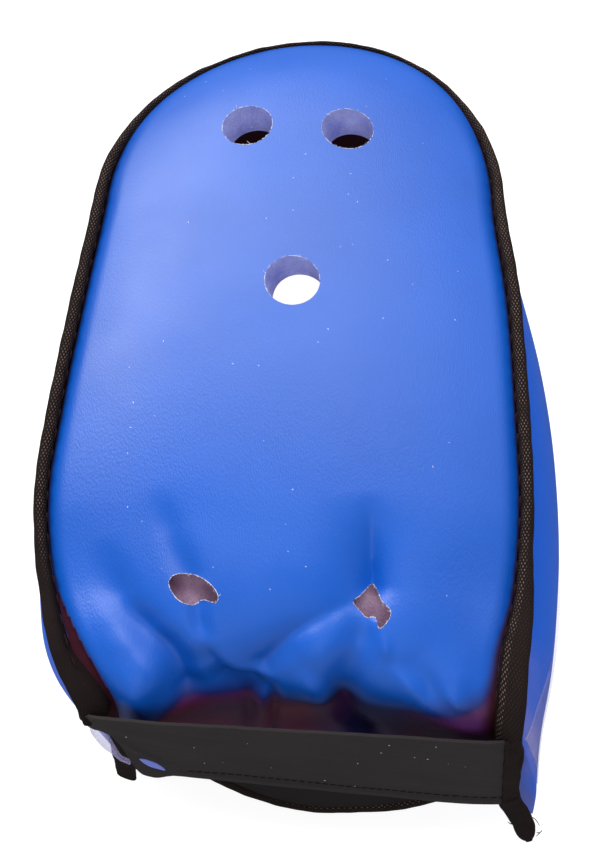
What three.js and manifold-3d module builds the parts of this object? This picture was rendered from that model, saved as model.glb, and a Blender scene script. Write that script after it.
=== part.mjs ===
// Padded sparring headgear with a clear face mask, standing on its lower rim.
// Millimetres. +Y is the way the wearer faces, +X the wearer's right, +Z up, floor at z = 0.

import * as THREE from 'three';
import { mergeVertices } from 'three/addons/utils/BufferGeometryUtils.js';
import Module from 'manifold-3d';

// Driving dimensions
const CROWN_HEIGHT = 175;          // outer face of the crown pad at the centre vent, above the floor
const CROWN_THICK = 15.5;
const CROWN_EDGE = 6;              // thickness where the crown pad is sewn down
const SEWN_FLANGE = 8;             // width of that thin edge
const SWELL_RUN = 22;              // distance over which the edge swells to the full thickness
const EDGE_CURL = 2.4;             // power of the crown's fall towards its edges
const WALL_THICK = 13;
const WALL_TOP = 5;
const WALL_END = 8;
const WALL_END_RUN = 0.09;         // part of a wall's length over which its ends thin out
const GAP = 0.5;                   // clearance between neighbouring pieces
const SEAM_GAP = 1;                // between the crown's edge and the top of the walls
const TAPE_GAP = 0.9;              // between the crown's edge and its tape
const TAPE_THICK = 4.5;
const TAPE_SPREAD = { thick: 10.5, from: 0.03, run: 0.2 };  // lies flat towards the rear corners
const TAPE_ABOVE = 2.5;            // how far the tape stands above the crown's edge
const TAPE_BELOW = 7.6;
const BAND_THICK = 2;
const MASK_THICK = 2;
const MASK_GAP = 1.2;
const MASK_SPRING = { left: 6, right: 0, run: 0.12 };  // how far the arms' free ends spring off the walls
const FOREHEAD_DROP = 56;          // height of the forehead pad
const TAIL = {                     // how far the tails of the rear tapes stand off, in plan
  right: new THREE.Vector3(5, -14, 0),
  left: new THREE.Vector3(-1, -3, 0),
};
const FOOT_CENTRE = new THREE.Vector2(11.1, -1.5);

// Crown pad along its middle line: s is the distance forward of the centre vent.
// slope in degrees, half widths, how far each edge lies below the middle and the drift to the right
const CROWN = [
  { s: -250, slope: 70, left: 40, right: 78, fallLeft: 0, fallRight: 0, drift: 19 },
  { s: -205, slope: 84, left: 40, right: 78, fallLeft: -5, fallRight: -6, drift: 0 },
  { s: -188, slope: 92, left: 60, right: 78, fallLeft: -10, fallRight: -11, drift: 0 },
  { s: -168, slope: 84, left: 65, right: 79.5, fallLeft: -6, fallRight: -9, drift: 0 },
  { s: -150, slope: 55, left: 76.5, right: 83, fallLeft: 5, fallRight: 2, drift: 0 },
  { s: -125, slope: 28, left: 86, right: 88.5, fallLeft: 18, fallRight: 12, drift: 0 },
  { s: -90, slope: 23, left: 92.5, right: 92, fallLeft: 21, fallRight: 13, drift: 0 },
  { s: -45, slope: 20, left: 91, right: 91, fallLeft: 21, fallRight: 13, drift: 0 },
  { s: 0, slope: 17, left: 87.5, right: 89, fallLeft: 21, fallRight: 13, drift: 0 },
  { s: 50, slope: 12.5, left: 82.5, right: 84, fallLeft: 20, fallRight: 14, drift: 0 },
  { s: 100, slope: 8, left: 82, right: 83, fallLeft: 19, fallRight: 15, drift: 2.5 },
  { s: 150, slope: 4, left: 82, right: 83, fallLeft: 18, fallRight: 16, drift: 9 },
];
const ARCH = { start: 50, rise: 96 };      // the front end is half an ellipse
const FLAP = { start: -205, rise: 43 };    // and so is the free back end
const END_ANGLE = 86;                      // degrees, where those ellipses are cut square

// Dents of the crown pad: the line each one follows and its size, raised where depth is negative
const DENTS = [
  { name: 'sag behind the band', from: [-166, -34], to: [-166, 42], reach: 20, depth: 11 },
  { name: 'groove above the right vent', from: [-80, 31], to: [-118, 30], reach: 9, depth: 4 },
  { name: 'crease from the right vent', from: [-136, 22], to: [-156, -6], reach: 10, depth: 7 },
  { name: 'hollow under the left vent', from: [-143, -50], to: [-161, -20], reach: 12, depth: 8 },
  { name: 'upright fold', from: [-164, -8], to: [-190, -9], reach: 7, depth: -5 },
  { name: 'ridge towards the right corner', from: [-150, 44], to: [-182, 70], reach: 11, depth: -5 },
  { name: 'furrow under it', from: [-152, 21], to: [-180, 38], reach: 11, depth: 5 },
];

// Vents punched through the crown, leaning sideways where the pad slumps and raked in degrees
// where it buckles; the rear pair is squeezed out of round
const VENTS = [
  { s: 77, x: -21.5, across: 22, along: 22, power: 2, turn: 0, lean: 12, rake: 0 },
  { s: 77, x: 21.5, across: 22, along: 22, power: 2, turn: 0, lean: 12, rake: 0 },
  { s: 0, x: 0, across: 22, along: 22, power: 2, turn: 0, lean: 12, rake: 0 },
  { s: -124, x: -33.5, across: 19, along: 12.5, power: 2.1, turn: -12, lean: 10, rake: 32 },
  { s: -128, x: 32.5, across: 14, along: 17, power: 1.5, turn: 18, lean: -16, rake: 37 },
];
const VENT_SIDES = 20;
const VENT_REACH = { above: 20, below: 22 };  // how far the punch passes either side of the outer face

// Walls by station p, from the right rear corner (0) round the front (1) to the left rear corner (2):
// where the wall stands on the floor and how far it bulges
const WALLS = [
  { p: 0, x: 105, y: -145, bulge: 9 },
  { p: 0.15, x: 105, y: -98, bulge: 16 },
  { p: 0.35, x: 103, y: -22, bulge: 22 },
  { p: 0.55, x: 96, y: 56, bulge: 17 },
  { p: 0.78, x: 72, y: 124, bulge: 10 },
  { p: 1, x: 8, y: 152, bulge: 8 },
  { p: 1.22, x: -56, y: 124, bulge: 8 },
  { p: 1.45, x: -78, y: 56, bulge: 9 },
  { p: 1.65, x: -82, y: -20, bulge: 9 },
  { p: 1.85, x: -76, y: -92, bulge: 9 },
  { p: 2, x: -70, y: -131, bulge: 3 },
];
const REAR_CORNER = -171;          // crown station where the walls begin
const ARCH_Q = 0.55;               // wall station where the arch begins
const CORNER_TURN = 26;            // degrees the rear corners turn to the back
const CORNER_RUN = 0.2;
const TEMPLE_Q = 0.79;             // seam between a side pad and the forehead pad
const TEMPLE_GAP = 0.002;
const WALL_STEPS = 24;
const WALL_ROWS = 8;
const BULGE_RISE = 0.8;            // under 1 puts the fullest part of a wall above its middle

// Face mask by distance q from either rear corner, 1 at the front: lower and upper edge above the floor
const MASK = [
  { q: 0.012, low: 32, high: 74 },
  { q: 0.2, low: 31, high: 71 },
  { q: 0.4, low: 27, high: 72 },
  { q: 0.54, low: 16, high: 88 },
  { q: 0.66, low: 8, high: 124 },
  { q: 0.76, low: 6, high: 151 },
  { q: 0.87, low: 5, high: 163 },
  { q: 1, low: 5, high: 164 },
];
const MASK_STEPS = 44;
const MASK_ROWS = 5;
const BREATHER = { diameter: 9, spacing: 17, height: 52, count: 5, rows: 2, sides: 12 };

// Back band in plan, with its lower and upper edge above the floor
const BAND = [
  { x: -76, y: -150, low: 83, high: 92.5 },
  { x: -70.5, y: -154.5, low: 77, high: 93.5 },
  { x: -59, y: -157, low: 67, high: 96 },
  { x: -44, y: -158, low: 59, high: 97.5 },
  { x: -20, y: -158, low: 54, high: 98 },
  { x: 45, y: -158.5, low: 44, high: 95 },
  { x: 95, y: -157.5, low: 36, high: 90 },
];
const BAND_STEPS = 24;

// Materials by finish
const FINISH = {
  vinyl: { color: 0x1b55c4, roughness: 0.42, metalness: 0 },
  tape: { color: 0x262223, roughness: 0.9, metalness: 0 },
  elastic: { color: 0x2a2728, roughness: 0.85, metalness: 0 },
  clear: { color: 0xdfe6ec, roughness: 0.08, metalness: 0, transparent: true, opacity: 0.35 },
};

const wasm = await Module();
wasm.setup();

const rad = THREE.MathUtils.degToRad;
const smooth = (t) => THREE.MathUtils.smoothstep(t, 0, 1);

// A smooth curve through one column of a table
function column(table, key, name) {
  const knots = table.map((row) => row[key]);
  const values = table.map((row) => row[name]);
  const curve = new THREE.CubicInterpolant(knots, values, 1, new Float64Array(1));
  return (at) => curve.evaluate(at)[0];
}

const crownSlope = column(CROWN, 's', 'slope');
const crownWidth = { left: column(CROWN, 's', 'left'), right: column(CROWN, 's', 'right') };
const fallLeft = column(CROWN, 's', 'fallLeft');
const fallRight = column(CROWN, 's', 'fallRight');
const drift = column(CROWN, 's', 'drift');

// The middle line of the crown, walked from the centre vent in small steps
const CREST_STEP = 1;
function walkCrest(direction, reach) {
  const points = [{ y: 0, z: CROWN_HEIGHT }];
  for (let i = 0; i < reach; i += 1) {
    const angle = rad(crownSlope(direction * (i + 0.5) * CREST_STEP));
    const last = points[points.length - 1];
    points.push({
      y: last.y + direction * CREST_STEP * Math.cos(angle),
      z: last.z + direction * CREST_STEP * Math.sin(angle),
    });
  }
  return points;
}
const crestFront = walkCrest(1, 156);
const crestBack = walkCrest(-1, 256);

function crest(s) {
  const points = s < 0 ? crestBack : crestFront;
  const at = Math.abs(s) / CREST_STEP;
  const i = Math.min(Math.floor(at), points.length - 2);
  const f = at - i;
  return {
    y: THREE.MathUtils.lerp(points[i].y, points[i + 1].y, f),
    z: THREE.MathUtils.lerp(points[i].z, points[i + 1].z, f),
    angle: rad(crownSlope(s)),
  };
}

const sideOf = (x) => (x < 0 ? 'left' : 'right');

// Share of an end ellipse that a station has used up, 0 before the ellipse starts
function endShare(s) {
  if (s > ARCH.start) return (s - ARCH.start) / ARCH.rise;
  if (s < FLAP.start) return (FLAP.start - s) / FLAP.rise;
  return 0;
}

function halfWidth(s, side) {
  const share = Math.min(endShare(s), 1);
  const at = THREE.MathUtils.clamp(s, FLAP.start, ARCH.start);
  return crownWidth[side](at) * Math.sqrt(1 - share * share);
}

// 0 on the middle line to 1 on the crown's outline
function outwardness(s, x) {
  const side = sideOf(x);
  const at = THREE.MathUtils.clamp(s, FLAP.start, ARCH.start);
  return Math.hypot(x / crownWidth[side](at), endShare(s));
}

function dent(s, x) {
  const here = new THREE.Vector2(s, x);
  let sum = 0;
  for (const { from, to, reach, depth } of DENTS) {
    const start = new THREE.Vector2(...from);
    const run = new THREE.Vector2(...to).sub(start);
    const along = THREE.MathUtils.clamp(here.clone().sub(start).dot(run) / run.lengthSq(), 0, 1);
    const away = start.addScaledVector(run, along).distanceTo(here);
    sum += depth * Math.exp(-((away / reach) ** 2));
  }
  return sum;
}

const crownNormal = (s) => {
  const { angle } = crest(s);
  return new THREE.Vector3(0, -Math.sin(angle), Math.cos(angle));
};

// A point of the crown pad, depth measured inwards from its outer face
function crownPoint(s, x, depth) {
  const { y, z } = crest(s);
  const out = Math.min(outwardness(s, x), 1);
  const calm = 1 - smooth((out - 0.8) / 0.2);
  const at = THREE.MathUtils.clamp(s, FLAP.start, ARCH.start);
  const toRight = smooth((x / crownWidth[sideOf(x)](at) + 1) / 2);
  const edgeFall = THREE.MathUtils.lerp(fallLeft(s), fallRight(s), toRight);
  const fall = edgeFall * out ** EDGE_CURL + dent(s, x) * calm;
  return new THREE.Vector3(x + drift(s), y, z).addScaledVector(crownNormal(s), -fall - depth);
}

function crownThickness(s, x) {
  const span = endShare(s) > 0 && s < 0 ? FLAP.rise : crownWidth[sideOf(x)](s);
  const inside = (1 - Math.min(outwardness(s, x), 1)) * span;
  return CROWN_EDGE + (CROWN_THICK - CROWN_EDGE) * smooth((inside - SEWN_FLANGE) / SWELL_RUN);
}

// A closed wall between two faces, each a function of two shares from 0 to 1
function slab(steps, rows, outer, inner) {
  const positions = [];
  const triangles = [];
  const wide = rows + 1;
  const face = (steps + 1) * wide;
  for (const shape of [outer, inner]) {
    for (let i = 0; i <= steps; i += 1) {
      for (let j = 0; j <= rows; j += 1) positions.push(...shape(i / steps, j / rows).toArray());
    }
  }
  const quad = (a, b, c, d) => triangles.push(a, b, c, a, c, d);
  for (let i = 0; i < steps; i += 1) {
    for (let j = 0; j < rows; j += 1) {
      const a = i * wide + j;
      quad(a, a + 1, a + wide + 1, a + wide);
      quad(face + a, face + a + wide, face + a + wide + 1, face + a + 1);
    }
  }
  for (let i = 0; i < steps; i += 1) {
    const low = i * wide;
    const high = low + rows;
    quad(low, low + wide, face + low + wide, face + low);
    quad(high, face + high, face + high + wide, high + wide);
  }
  for (let j = 0; j < rows; j += 1) {
    const last = steps * wide + j;
    quad(j, face + j, face + j + 1, j + 1);
    quad(last, last + 1, face + last + 1, face + last);
  }
  const geometry = new THREE.BufferGeometry();
  geometry.setAttribute('position', new THREE.Float32BufferAttribute(positions, 3));
  geometry.setIndex(triangles);
  return geometry;
}

// A closed bar of rectangular section with rounded corners, through frames of point, out, up and thick
const BAR_CORNER = 0.7;            // where the corner chamfer starts, as a share of the half size
function bar(frames, above, below) {
  const middle = (above - below) / 2;
  const tall = (above + below) / 2;
  const section = [[1, BAR_CORNER], [BAR_CORNER, 1], [-BAR_CORNER, 1], [-1, BAR_CORNER],
    [-1, -BAR_CORNER], [-BAR_CORNER, -1], [BAR_CORNER, -1], [1, -BAR_CORNER]];
  const positions = [];
  const triangles = [];
  for (const { point, out, up, thick } of frames) {
    for (const [a, b] of section) {
      const corner = point.clone().addScaledVector(out, (a + 1) * thick / 2);
      positions.push(...corner.addScaledVector(up, middle + b * tall).toArray());
    }
  }
  const n = section.length;
  const last = (frames.length - 1) * n;
  for (let i = 0; i < frames.length - 1; i += 1) {
    for (let k = 0; k < n; k += 1) {
      const a = i * n + k;
      const b = i * n + (k + 1) % n;
      triangles.push(a, a + n, b + n, a, b + n, b);
    }
  }
  for (let k = 1; k < n - 1; k += 1) {
    triangles.push(0, k, k + 1);
    triangles.push(last, last + k + 1, last + k);
  }
  const geometry = new THREE.BufferGeometry();
  geometry.setAttribute('position', new THREE.Float32BufferAttribute(positions, 3));
  geometry.setIndex(triangles);
  return geometry;
}

function toSolid(geometry) {
  const bare = geometry.clone();
  bare.deleteAttribute('normal');
  bare.deleteAttribute('uv');
  const merged = mergeVertices(bare);
  return new wasm.Manifold(new wasm.Mesh({
    numProp: 3,
    vertProperties: new Float32Array(merged.attributes.position.array),
    triVerts: new Uint32Array(merged.index.array),
  }));
}

function toGeometry(solid) {
  const mesh = solid.getMesh();
  const geometry = new THREE.BufferGeometry();
  geometry.setAttribute('position', new THREE.BufferAttribute(mesh.vertProperties, 3));
  geometry.setIndex(new THREE.BufferAttribute(mesh.triVerts, 1));
  return geometry;
}

// Crown pad: rows crowd towards the two round ends and where the pad buckles
const FLAP_ROWS = 6;
const ARCH_ROWS = 9;
const BODY = [
  { from: FLAP.start, to: -188, rows: 3 },
  { from: -188, to: -112, rows: 18 },
  { from: -112, to: ARCH.start, rows: 12 },
];
const CROWN_COLUMNS = 22;

function crownStations() {
  const stations = [];
  for (let i = 0; i < FLAP_ROWS; i += 1) {
    stations.push(FLAP.start - FLAP.rise * Math.sin(rad(END_ANGLE * (1 - i / FLAP_ROWS))));
  }
  for (const { from, to, rows } of BODY) {
    for (let i = 0; i < rows; i += 1) stations.push(THREE.MathUtils.lerp(from, to, i / rows));
  }
  for (let i = 0; i <= ARCH_ROWS; i += 1) {
    stations.push(ARCH.start + ARCH.rise * Math.sin(rad(END_ANGLE * i / ARCH_ROWS)));
  }
  return stations;
}
const STATIONS = crownStations();
const CROWN_ROWS = STATIONS.length - 1;

function crownGrid(share, across) {
  const s = STATIONS[Math.round(share * CROWN_ROWS)];
  const v = 2 * across - 1;
  return { s, x: v * halfWidth(s, sideOf(v)) };
}

function ventCutter({ s, x, across, along, power, turn, lean, rake }) {
  const outline = [];
  for (let k = 0; k < VENT_SIDES; k += 1) {
    const a = 2 * Math.PI * k / VENT_SIDES;
    const c = Math.cos(a);
    const d = Math.sin(a);
    const r = (Math.abs(c) ** power + Math.abs(d) ** power) ** (-1 / power);
    outline.push(new THREE.Vector2(r * c * across / 2, r * d * along / 2));
  }
  const depth = VENT_REACH.above + VENT_REACH.below;
  const cutter = new THREE.ExtrudeGeometry(new THREE.Shape(outline), { depth, bevelEnabled: false });
  cutter.translate(0, 0, -VENT_REACH.below);
  cutter.rotateZ(rad(turn));
  cutter.applyMatrix4(new THREE.Matrix4().makeShear(0, 0, 0, 0, -Math.tan(rad(lean)), Math.tan(rad(rake))));
  cutter.rotateX(crest(s).angle);
  cutter.translate(...crownPoint(s, x, 0).toArray());
  return cutter;
}

function crownPad() {
  const outer = (share, across) => {
    const { s, x } = crownGrid(share, across);
    return crownPoint(s, x, 0);
  };
  const inner = (share, across) => {
    const { s, x } = crownGrid(share, across);
    return crownPoint(s, x, crownThickness(s, x));
  };
  let solid = toSolid(slab(CROWN_ROWS, CROWN_COLUMNS, outer, inner));
  for (const vent of VENTS) solid = solid.subtract(toSolid(ventCutter(vent)));
  return toGeometry(solid);
}

// Walls: the side of the head that a station is on, and its distance q from that rear corner
const wallSide = (p) => (p < 1 ? 1 : -1);
const wallStation = (p) => (p < 1 ? p : 2 - p);
const footX = column(WALLS, 'p', 'x');
const footY = column(WALLS, 'p', 'y');
const wallBulge = column(WALLS, 'p', 'bulge');

// The seam under the crown's edge, with the way out from it in plan
function seam(p, depth) {
  const q = wallStation(p);
  const side = wallSide(p);
  const name = side > 0 ? 'right' : 'left';
  if (q < ARCH_Q) {
    const s = THREE.MathUtils.lerp(REAR_CORNER, ARCH.start, q / ARCH_Q);
    const turn = rad(CORNER_TURN) * (1 - smooth(q / CORNER_RUN));
    const out = new THREE.Vector3(side * Math.cos(turn), -Math.sin(turn), 0);
    return { s, point: crownPoint(s, side * halfWidth(s, name), depth), out };
  }
  const angle = (q - ARCH_Q) / (1 - ARCH_Q) * Math.PI / 2;
  const wide = halfWidth(ARCH.start, name);
  const s = ARCH.start + ARCH.rise * Math.sin(angle);
  const x = side * wide * Math.cos(angle);
  const out = new THREE.Vector3(side * Math.cos(angle) / wide, Math.sin(angle) / ARCH.rise, 0).normalize();
  return { s, point: crownPoint(s, x, depth), out };
}

// A point of the walls: t runs from the seam (0) to the floor (1), depth inwards from the outer face
function wallPoint(p, t, depth) {
  const { point, out } = seam(p, CROWN_EDGE + SEAM_GAP);
  const stand = new THREE.Vector3(footX(p), footY(p), 0);
  const bulge = wallBulge(p) * Math.sin(Math.PI * t ** BULGE_RISE);
  return point.lerp(stand, t).addScaledVector(out, bulge - depth);
}

function wallThickness(t, share) {
  const full = Math.min(share, 1 - share) / WALL_END_RUN;
  const broad = THREE.MathUtils.lerp(WALL_END, WALL_THICK, smooth(full));
  const down = smooth(t / 0.22);
  const bottom = THREE.MathUtils.lerp(0.75, 1, smooth((1 - t) / 0.08));
  return THREE.MathUtils.lerp(WALL_TOP, broad, down) * bottom;
}

function wallPad(pFrom, pTo, tEnd, steps, rows) {
  const place = (share) => THREE.MathUtils.lerp(pFrom, pTo, share);
  const outer = (share, down) => wallPoint(place(share), down * tEnd(place(share)), 0);
  const inner = (share, down) => {
    const t = down * tEnd(place(share));
    return wallPoint(place(share), t, wallThickness(down, share));
  };
  return slab(steps, rows, outer, inner);
}

const toFloor = () => 1;
const toBrow = (p) => FOREHEAD_DROP / wallPoint(p, 0, 0).z;

// Tape along the seam
function seamFrames(from, to, steps) {
  const frames = [];
  for (let i = 0; i <= steps; i += 1) {
    const p = THREE.MathUtils.lerp(from, to, i / steps);
    const { s, point, out } = seam(p, 0);
    const narrow = smooth((wallStation(p) - TAPE_SPREAD.from) / TAPE_SPREAD.run);
    const thick = THREE.MathUtils.lerp(TAPE_SPREAD.thick, TAPE_THICK, narrow);
    frames.push({ point: point.addScaledVector(out, TAPE_GAP), out, up: crownNormal(s), thick });
  }
  return frames;
}

// Tape round the free end of the crown, as far round as FLAP_TAPE degrees either way,
// turned up over the outer face in a crescent
const FLAP_TAPE = 74;
const FLAP_STEPS = 18;
const FLAP_FACING = { thick: 1.7, up: 0.5, across: 0.12, lap: 0.05 };
function flapFrames(steps) {
  const frames = [];
  for (let i = 0; i <= steps; i += 1) {
    const turn = rad(THREE.MathUtils.lerp(-FLAP_TAPE, FLAP_TAPE, i / steps));
    const name = turn < 0 ? 'left' : 'right';
    const s = FLAP.start - FLAP.rise * Math.cos(turn);
    const wide = crownWidth[name](FLAP.start);
    const { angle } = crest(s);
    const down = new THREE.Vector3(0, -Math.cos(angle), -Math.sin(angle));
    const out = new THREE.Vector3(Math.sin(turn) / wide, 0, 0)
      .addScaledVector(down, Math.cos(turn) / FLAP.rise).normalize();
    const point = crownPoint(s, wide * Math.sin(turn), 0).addScaledVector(out, GAP);
    frames.push({ point, out, up: crownNormal(s), thick: TAPE_THICK });
  }
  return frames;
}

function flapBinding() {
  const face = (depth) => (share, down) => {
    const turn = rad(THREE.MathUtils.lerp(-FLAP_TAPE, FLAP_TAPE, share));
    const inside = THREE.MathUtils.lerp(1, -FLAP_FACING.lap, down);
    const wide = crownWidth[turn < 0 ? 'left' : 'right'](FLAP.start);
    const s = FLAP.start - FLAP.rise * Math.cos(turn) * (1 - FLAP_FACING.up * inside);
    const x = wide * Math.sin(turn) * (1 - FLAP_FACING.across * inside);
    return crownPoint(s, x, -depth);
  };
  const facing = slab(FLAP_STEPS, 2, face(GAP + FLAP_FACING.thick), face(GAP));
  const edge = bar(flapFrames(FLAP_STEPS), TAPE_ABOVE, TAPE_BELOW + TAPE_ABOVE);
  return toGeometry(toSolid(edge).add(toSolid(facing)));
}

// Tape down the rear edge of a wall; its tail stands away from the wall near the floor
const REAR_TAPE = { from: 0.14, to: 0.985, steps: 10, thick: 3, spare: 1.5, tailFrom: 0.55 };
function rearFrames(p, tail) {
  const frames = [];
  const inwards = p < 1 ? 0.01 : -0.01;
  const { out } = seam(p, 0);
  for (let i = 0; i <= REAR_TAPE.steps; i += 1) {
    const t = THREE.MathUtils.lerp(REAR_TAPE.from, REAR_TAPE.to, i / REAR_TAPE.steps);
    const point = wallPoint(p, t, 0);
    const back = point.clone().sub(wallPoint(p + inwards, t, 0)).setZ(0);
    back.addScaledVector(out, -back.dot(out)).normalize();
    const away = smooth((t - REAR_TAPE.tailFrom) / (1 - REAR_TAPE.tailFrom));
    point.addScaledVector(back, GAP).addScaledVector(tail, away);
    frames.push({ point, out: back, up: out, thick: REAR_TAPE.thick });
  }
  return p < 1 ? frames : frames.reverse();
}

// Clear shield a little way outside the walls, with holes to breathe through
const maskLow = column(MASK, 'q', 'low');
const maskHigh = column(MASK, 'q', 'high');

function maskPoint(p, z, depth) {
  const top = wallPoint(p, 0, 0).z;
  const name = wallSide(p) > 0 ? 'right' : 'left';
  const spring = MASK_SPRING[name] * (1 - smooth(wallStation(p) / MASK_SPRING.run));
  return wallPoint(p, 1 - z / top, -MASK_GAP - spring - depth);
}

function faceMask() {
  const end = MASK[0].q;
  const face = (depth) => (share, down) => {
    const p = THREE.MathUtils.lerp(end, 2 - end, share);
    const q = wallStation(p);
    return maskPoint(p, THREE.MathUtils.lerp(maskHigh(q), maskLow(q), down), depth);
  };
  let solid = toSolid(slab(MASK_STEPS, MASK_ROWS, face(MASK_THICK), face(0)));
  const length = 60;
  for (let row = 0; row < BREATHER.rows; row += 1) {
    const count = BREATHER.count - row;
    for (let k = 0; k < count; k += 1) {
      const radius = BREATHER.diameter / 2;
      const cutter = new THREE.CylinderGeometry(radius, radius, length, BREATHER.sides);
      const x = footX(1) + (k - (count - 1) / 2) * BREATHER.spacing;
      cutter.translate(x, maskPoint(1, BREATHER.height, 0).y, BREATHER.height - row * BREATHER.spacing);
      solid = solid.subtract(toSolid(cutter));
    }
  }
  return toGeometry(solid);
}

// Wide band round the back, bent along a smooth path
function backBand() {
  const path = new THREE.CatmullRomCurve3(BAND.map(({ x, y }) => new THREE.Vector3(x, y, 0)));
  const level = BAND.map((row, i) => ({ u: i / (BAND.length - 1), low: row.low, high: row.high }));
  const low = column(level, 'u', 'low');
  const high = column(level, 'u', 'high');
  const face = (depth) => (u, down) => {
    const point = path.getPoint(u);
    const along = path.getTangent(u);
    const out = new THREE.Vector3(along.y, -along.x, 0);
    point.z = THREE.MathUtils.lerp(high(u), low(u), down);
    return point.addScaledVector(out, depth);
  };
  return slab(BAND_STEPS, 3, face(0), face(-BAND_THICK));
}

const headgear = new THREE.Group();
function add(name, finish, geometry) {
  geometry.computeVertexNormals();
  const mesh = new THREE.Mesh(geometry, new THREE.MeshStandardMaterial(FINISH[finish]));
  mesh.name = name;
  headgear.add(mesh);
}

add('crown_pad', 'vinyl', crownPad());
add('side_pad_right', 'vinyl', wallPad(0, TEMPLE_Q - TEMPLE_GAP, toFloor, WALL_STEPS, WALL_ROWS));
add('side_pad_left', 'vinyl', wallPad(2 - TEMPLE_Q + TEMPLE_GAP, 2, toFloor, WALL_STEPS, WALL_ROWS));
add('forehead_pad', 'vinyl', wallPad(TEMPLE_Q, 2 - TEMPLE_Q, toBrow, 14, 4));
add('crown_binding', 'tape', bar(seamFrames(0, 2, 64), TAPE_ABOVE, TAPE_BELOW));
add('flap_binding', 'tape', flapBinding());
add('rear_binding_right', 'tape', bar(rearFrames(0, TAIL.right), REAR_TAPE.spare, WALL_END));
add('rear_binding_left', 'tape', bar(rearFrames(2, TAIL.left), REAR_TAPE.spare, WALL_END));
add('back_band', 'elastic', backBand());
add('face_mask', 'clear', faceMask());
headgear.position.set(-FOOT_CENTRE.x, -FOOT_CENTRE.y, 0);

export default headgear;
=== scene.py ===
"""Looks of a padded sparring headgear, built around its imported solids.

Shapes are worked out in millimetres in the headgear's own layout, floor at z = 0 and the middle vent at
x = y = 0. metres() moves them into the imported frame.
"""

import math

import bmesh
import bpy
import numpy as np
from mathutils import Matrix, Vector


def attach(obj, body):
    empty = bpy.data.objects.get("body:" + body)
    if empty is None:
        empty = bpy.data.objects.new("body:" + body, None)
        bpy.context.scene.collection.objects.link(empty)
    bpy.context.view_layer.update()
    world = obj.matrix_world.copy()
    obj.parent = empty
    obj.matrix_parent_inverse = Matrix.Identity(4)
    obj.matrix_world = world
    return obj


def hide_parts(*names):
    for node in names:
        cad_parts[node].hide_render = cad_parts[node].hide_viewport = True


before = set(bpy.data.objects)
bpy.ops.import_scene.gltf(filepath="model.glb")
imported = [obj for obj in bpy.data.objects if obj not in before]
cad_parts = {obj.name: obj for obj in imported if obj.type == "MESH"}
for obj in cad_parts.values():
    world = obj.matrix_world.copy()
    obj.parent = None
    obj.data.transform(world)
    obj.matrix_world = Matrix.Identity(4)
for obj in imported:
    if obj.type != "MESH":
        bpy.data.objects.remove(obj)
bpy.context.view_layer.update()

BODY = "root"
FOOT_CENTRE = np.array([11.1, -1.5, 0.0])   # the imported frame's origin in the layout
RNG = np.random.default_rng(11)

# Camera, read from the photograph: place in the layout, angle below the horizon, roll, focal length
CAMERA_PLACE = (4.1, -345.9, 511.1)
CAMERA_DOWN = 51.3
CAMERA_ROLL = 1.5
FOCAL_PIXELS = 1200
FRAME_HEIGHT = 860
SENSOR_HEIGHT = 24.0

# Sky: it brightens one way and falls off behind and low down, each between two shares of a direction
SKY = {"least": 0.2, "most": 5.8}
SKY_TOWARDS = (-1, -0.3, 0)
SKY_SIDES = (-0.6, 0.65, 0.1, 1)
SKY_AHEAD = (0.17, 1, 0)
SKY_EDGE = (-0.12, 0.04)
SKY_LOW = (0.3, 0.6)

# Lamps, each with its place and size in metres and its watts, and the floor
LAMPS = [("top", (0.3, 0.2, 1.5), 1.2, 9), ("back", (-0.1, -1.2, 1.0), 1.0, 7)]
LAMP_AIM = (0, 0, 0.1)
FLOOR = {"reach": 20.0, "below": 0.0005, "glow": 0.88}

# Driving sizes of the pads and tapes
CROWN_HEIGHT = 175
CROWN_THICK = 15.5
CROWN_EDGE = 6
SEWN_FLANGE = 8
SWELL_RUN = 22
EDGE_CURL = 2.4
EDGE_ROLL = {"deep": 3.2, "front": 0.8, "wide": 8.0}   # how the cover rolls down into the taped seam
WALL_THICK = 13
WALL_TOP = 5
WALL_END = 8
WALL_END_RUN = 0.09
SEAM_GAP = 1
TAPE_GAP = 0.3
TAPE_THICK = 4.9
TAPE_ABOVE = 2.5
TAPE_BELOW = 7.6
TAPE_WEAVE = (2.4, 1.35)   # along and across it
TAPE_SPREAD = {"right": 11.0, "left": 6.5, "from": 0.03, "run": 0.15, "flare": 0.06}   # wide at the rear
TAPE_FRONT = {"thick": 1.9, "above": 0.5, "from": 0.5, "run": 0.36}   # thin over the arch
TAPE_TUCK = {"right": 0.02, "left": 0.001}   # how far its ends run on behind the band
FLAP_TAPE = 74   # degrees either way round the crown's free end
FLAP_FACING = {"thick": 1.7, "up": 0.5, "across": 0.12, "lap": 0.05}
BAND_THICK = 1.3
MASK_THICK = 1.2
MASK_GAP = 0.2
MASK_SINK = {"right": 0.9, "left": 2.8, "run": 0.2}   # how deep its arms end in the cover of the walls
ARM_THICK = 1.4
FOREHEAD_DROP = 56
INNER_SHADE_FROM = 8   # rows at either end that a cover turns round, left out of the painted shade inside


def table(names, rows):
    """Named columns of a table."""
    return {name: np.array(values, float) for name, values in zip(names.split(), zip(*rows))}


def circle(count):
    """Angles evenly round a circle."""
    return np.linspace(0, 2 * math.pi, count, endpoint=False)


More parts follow.
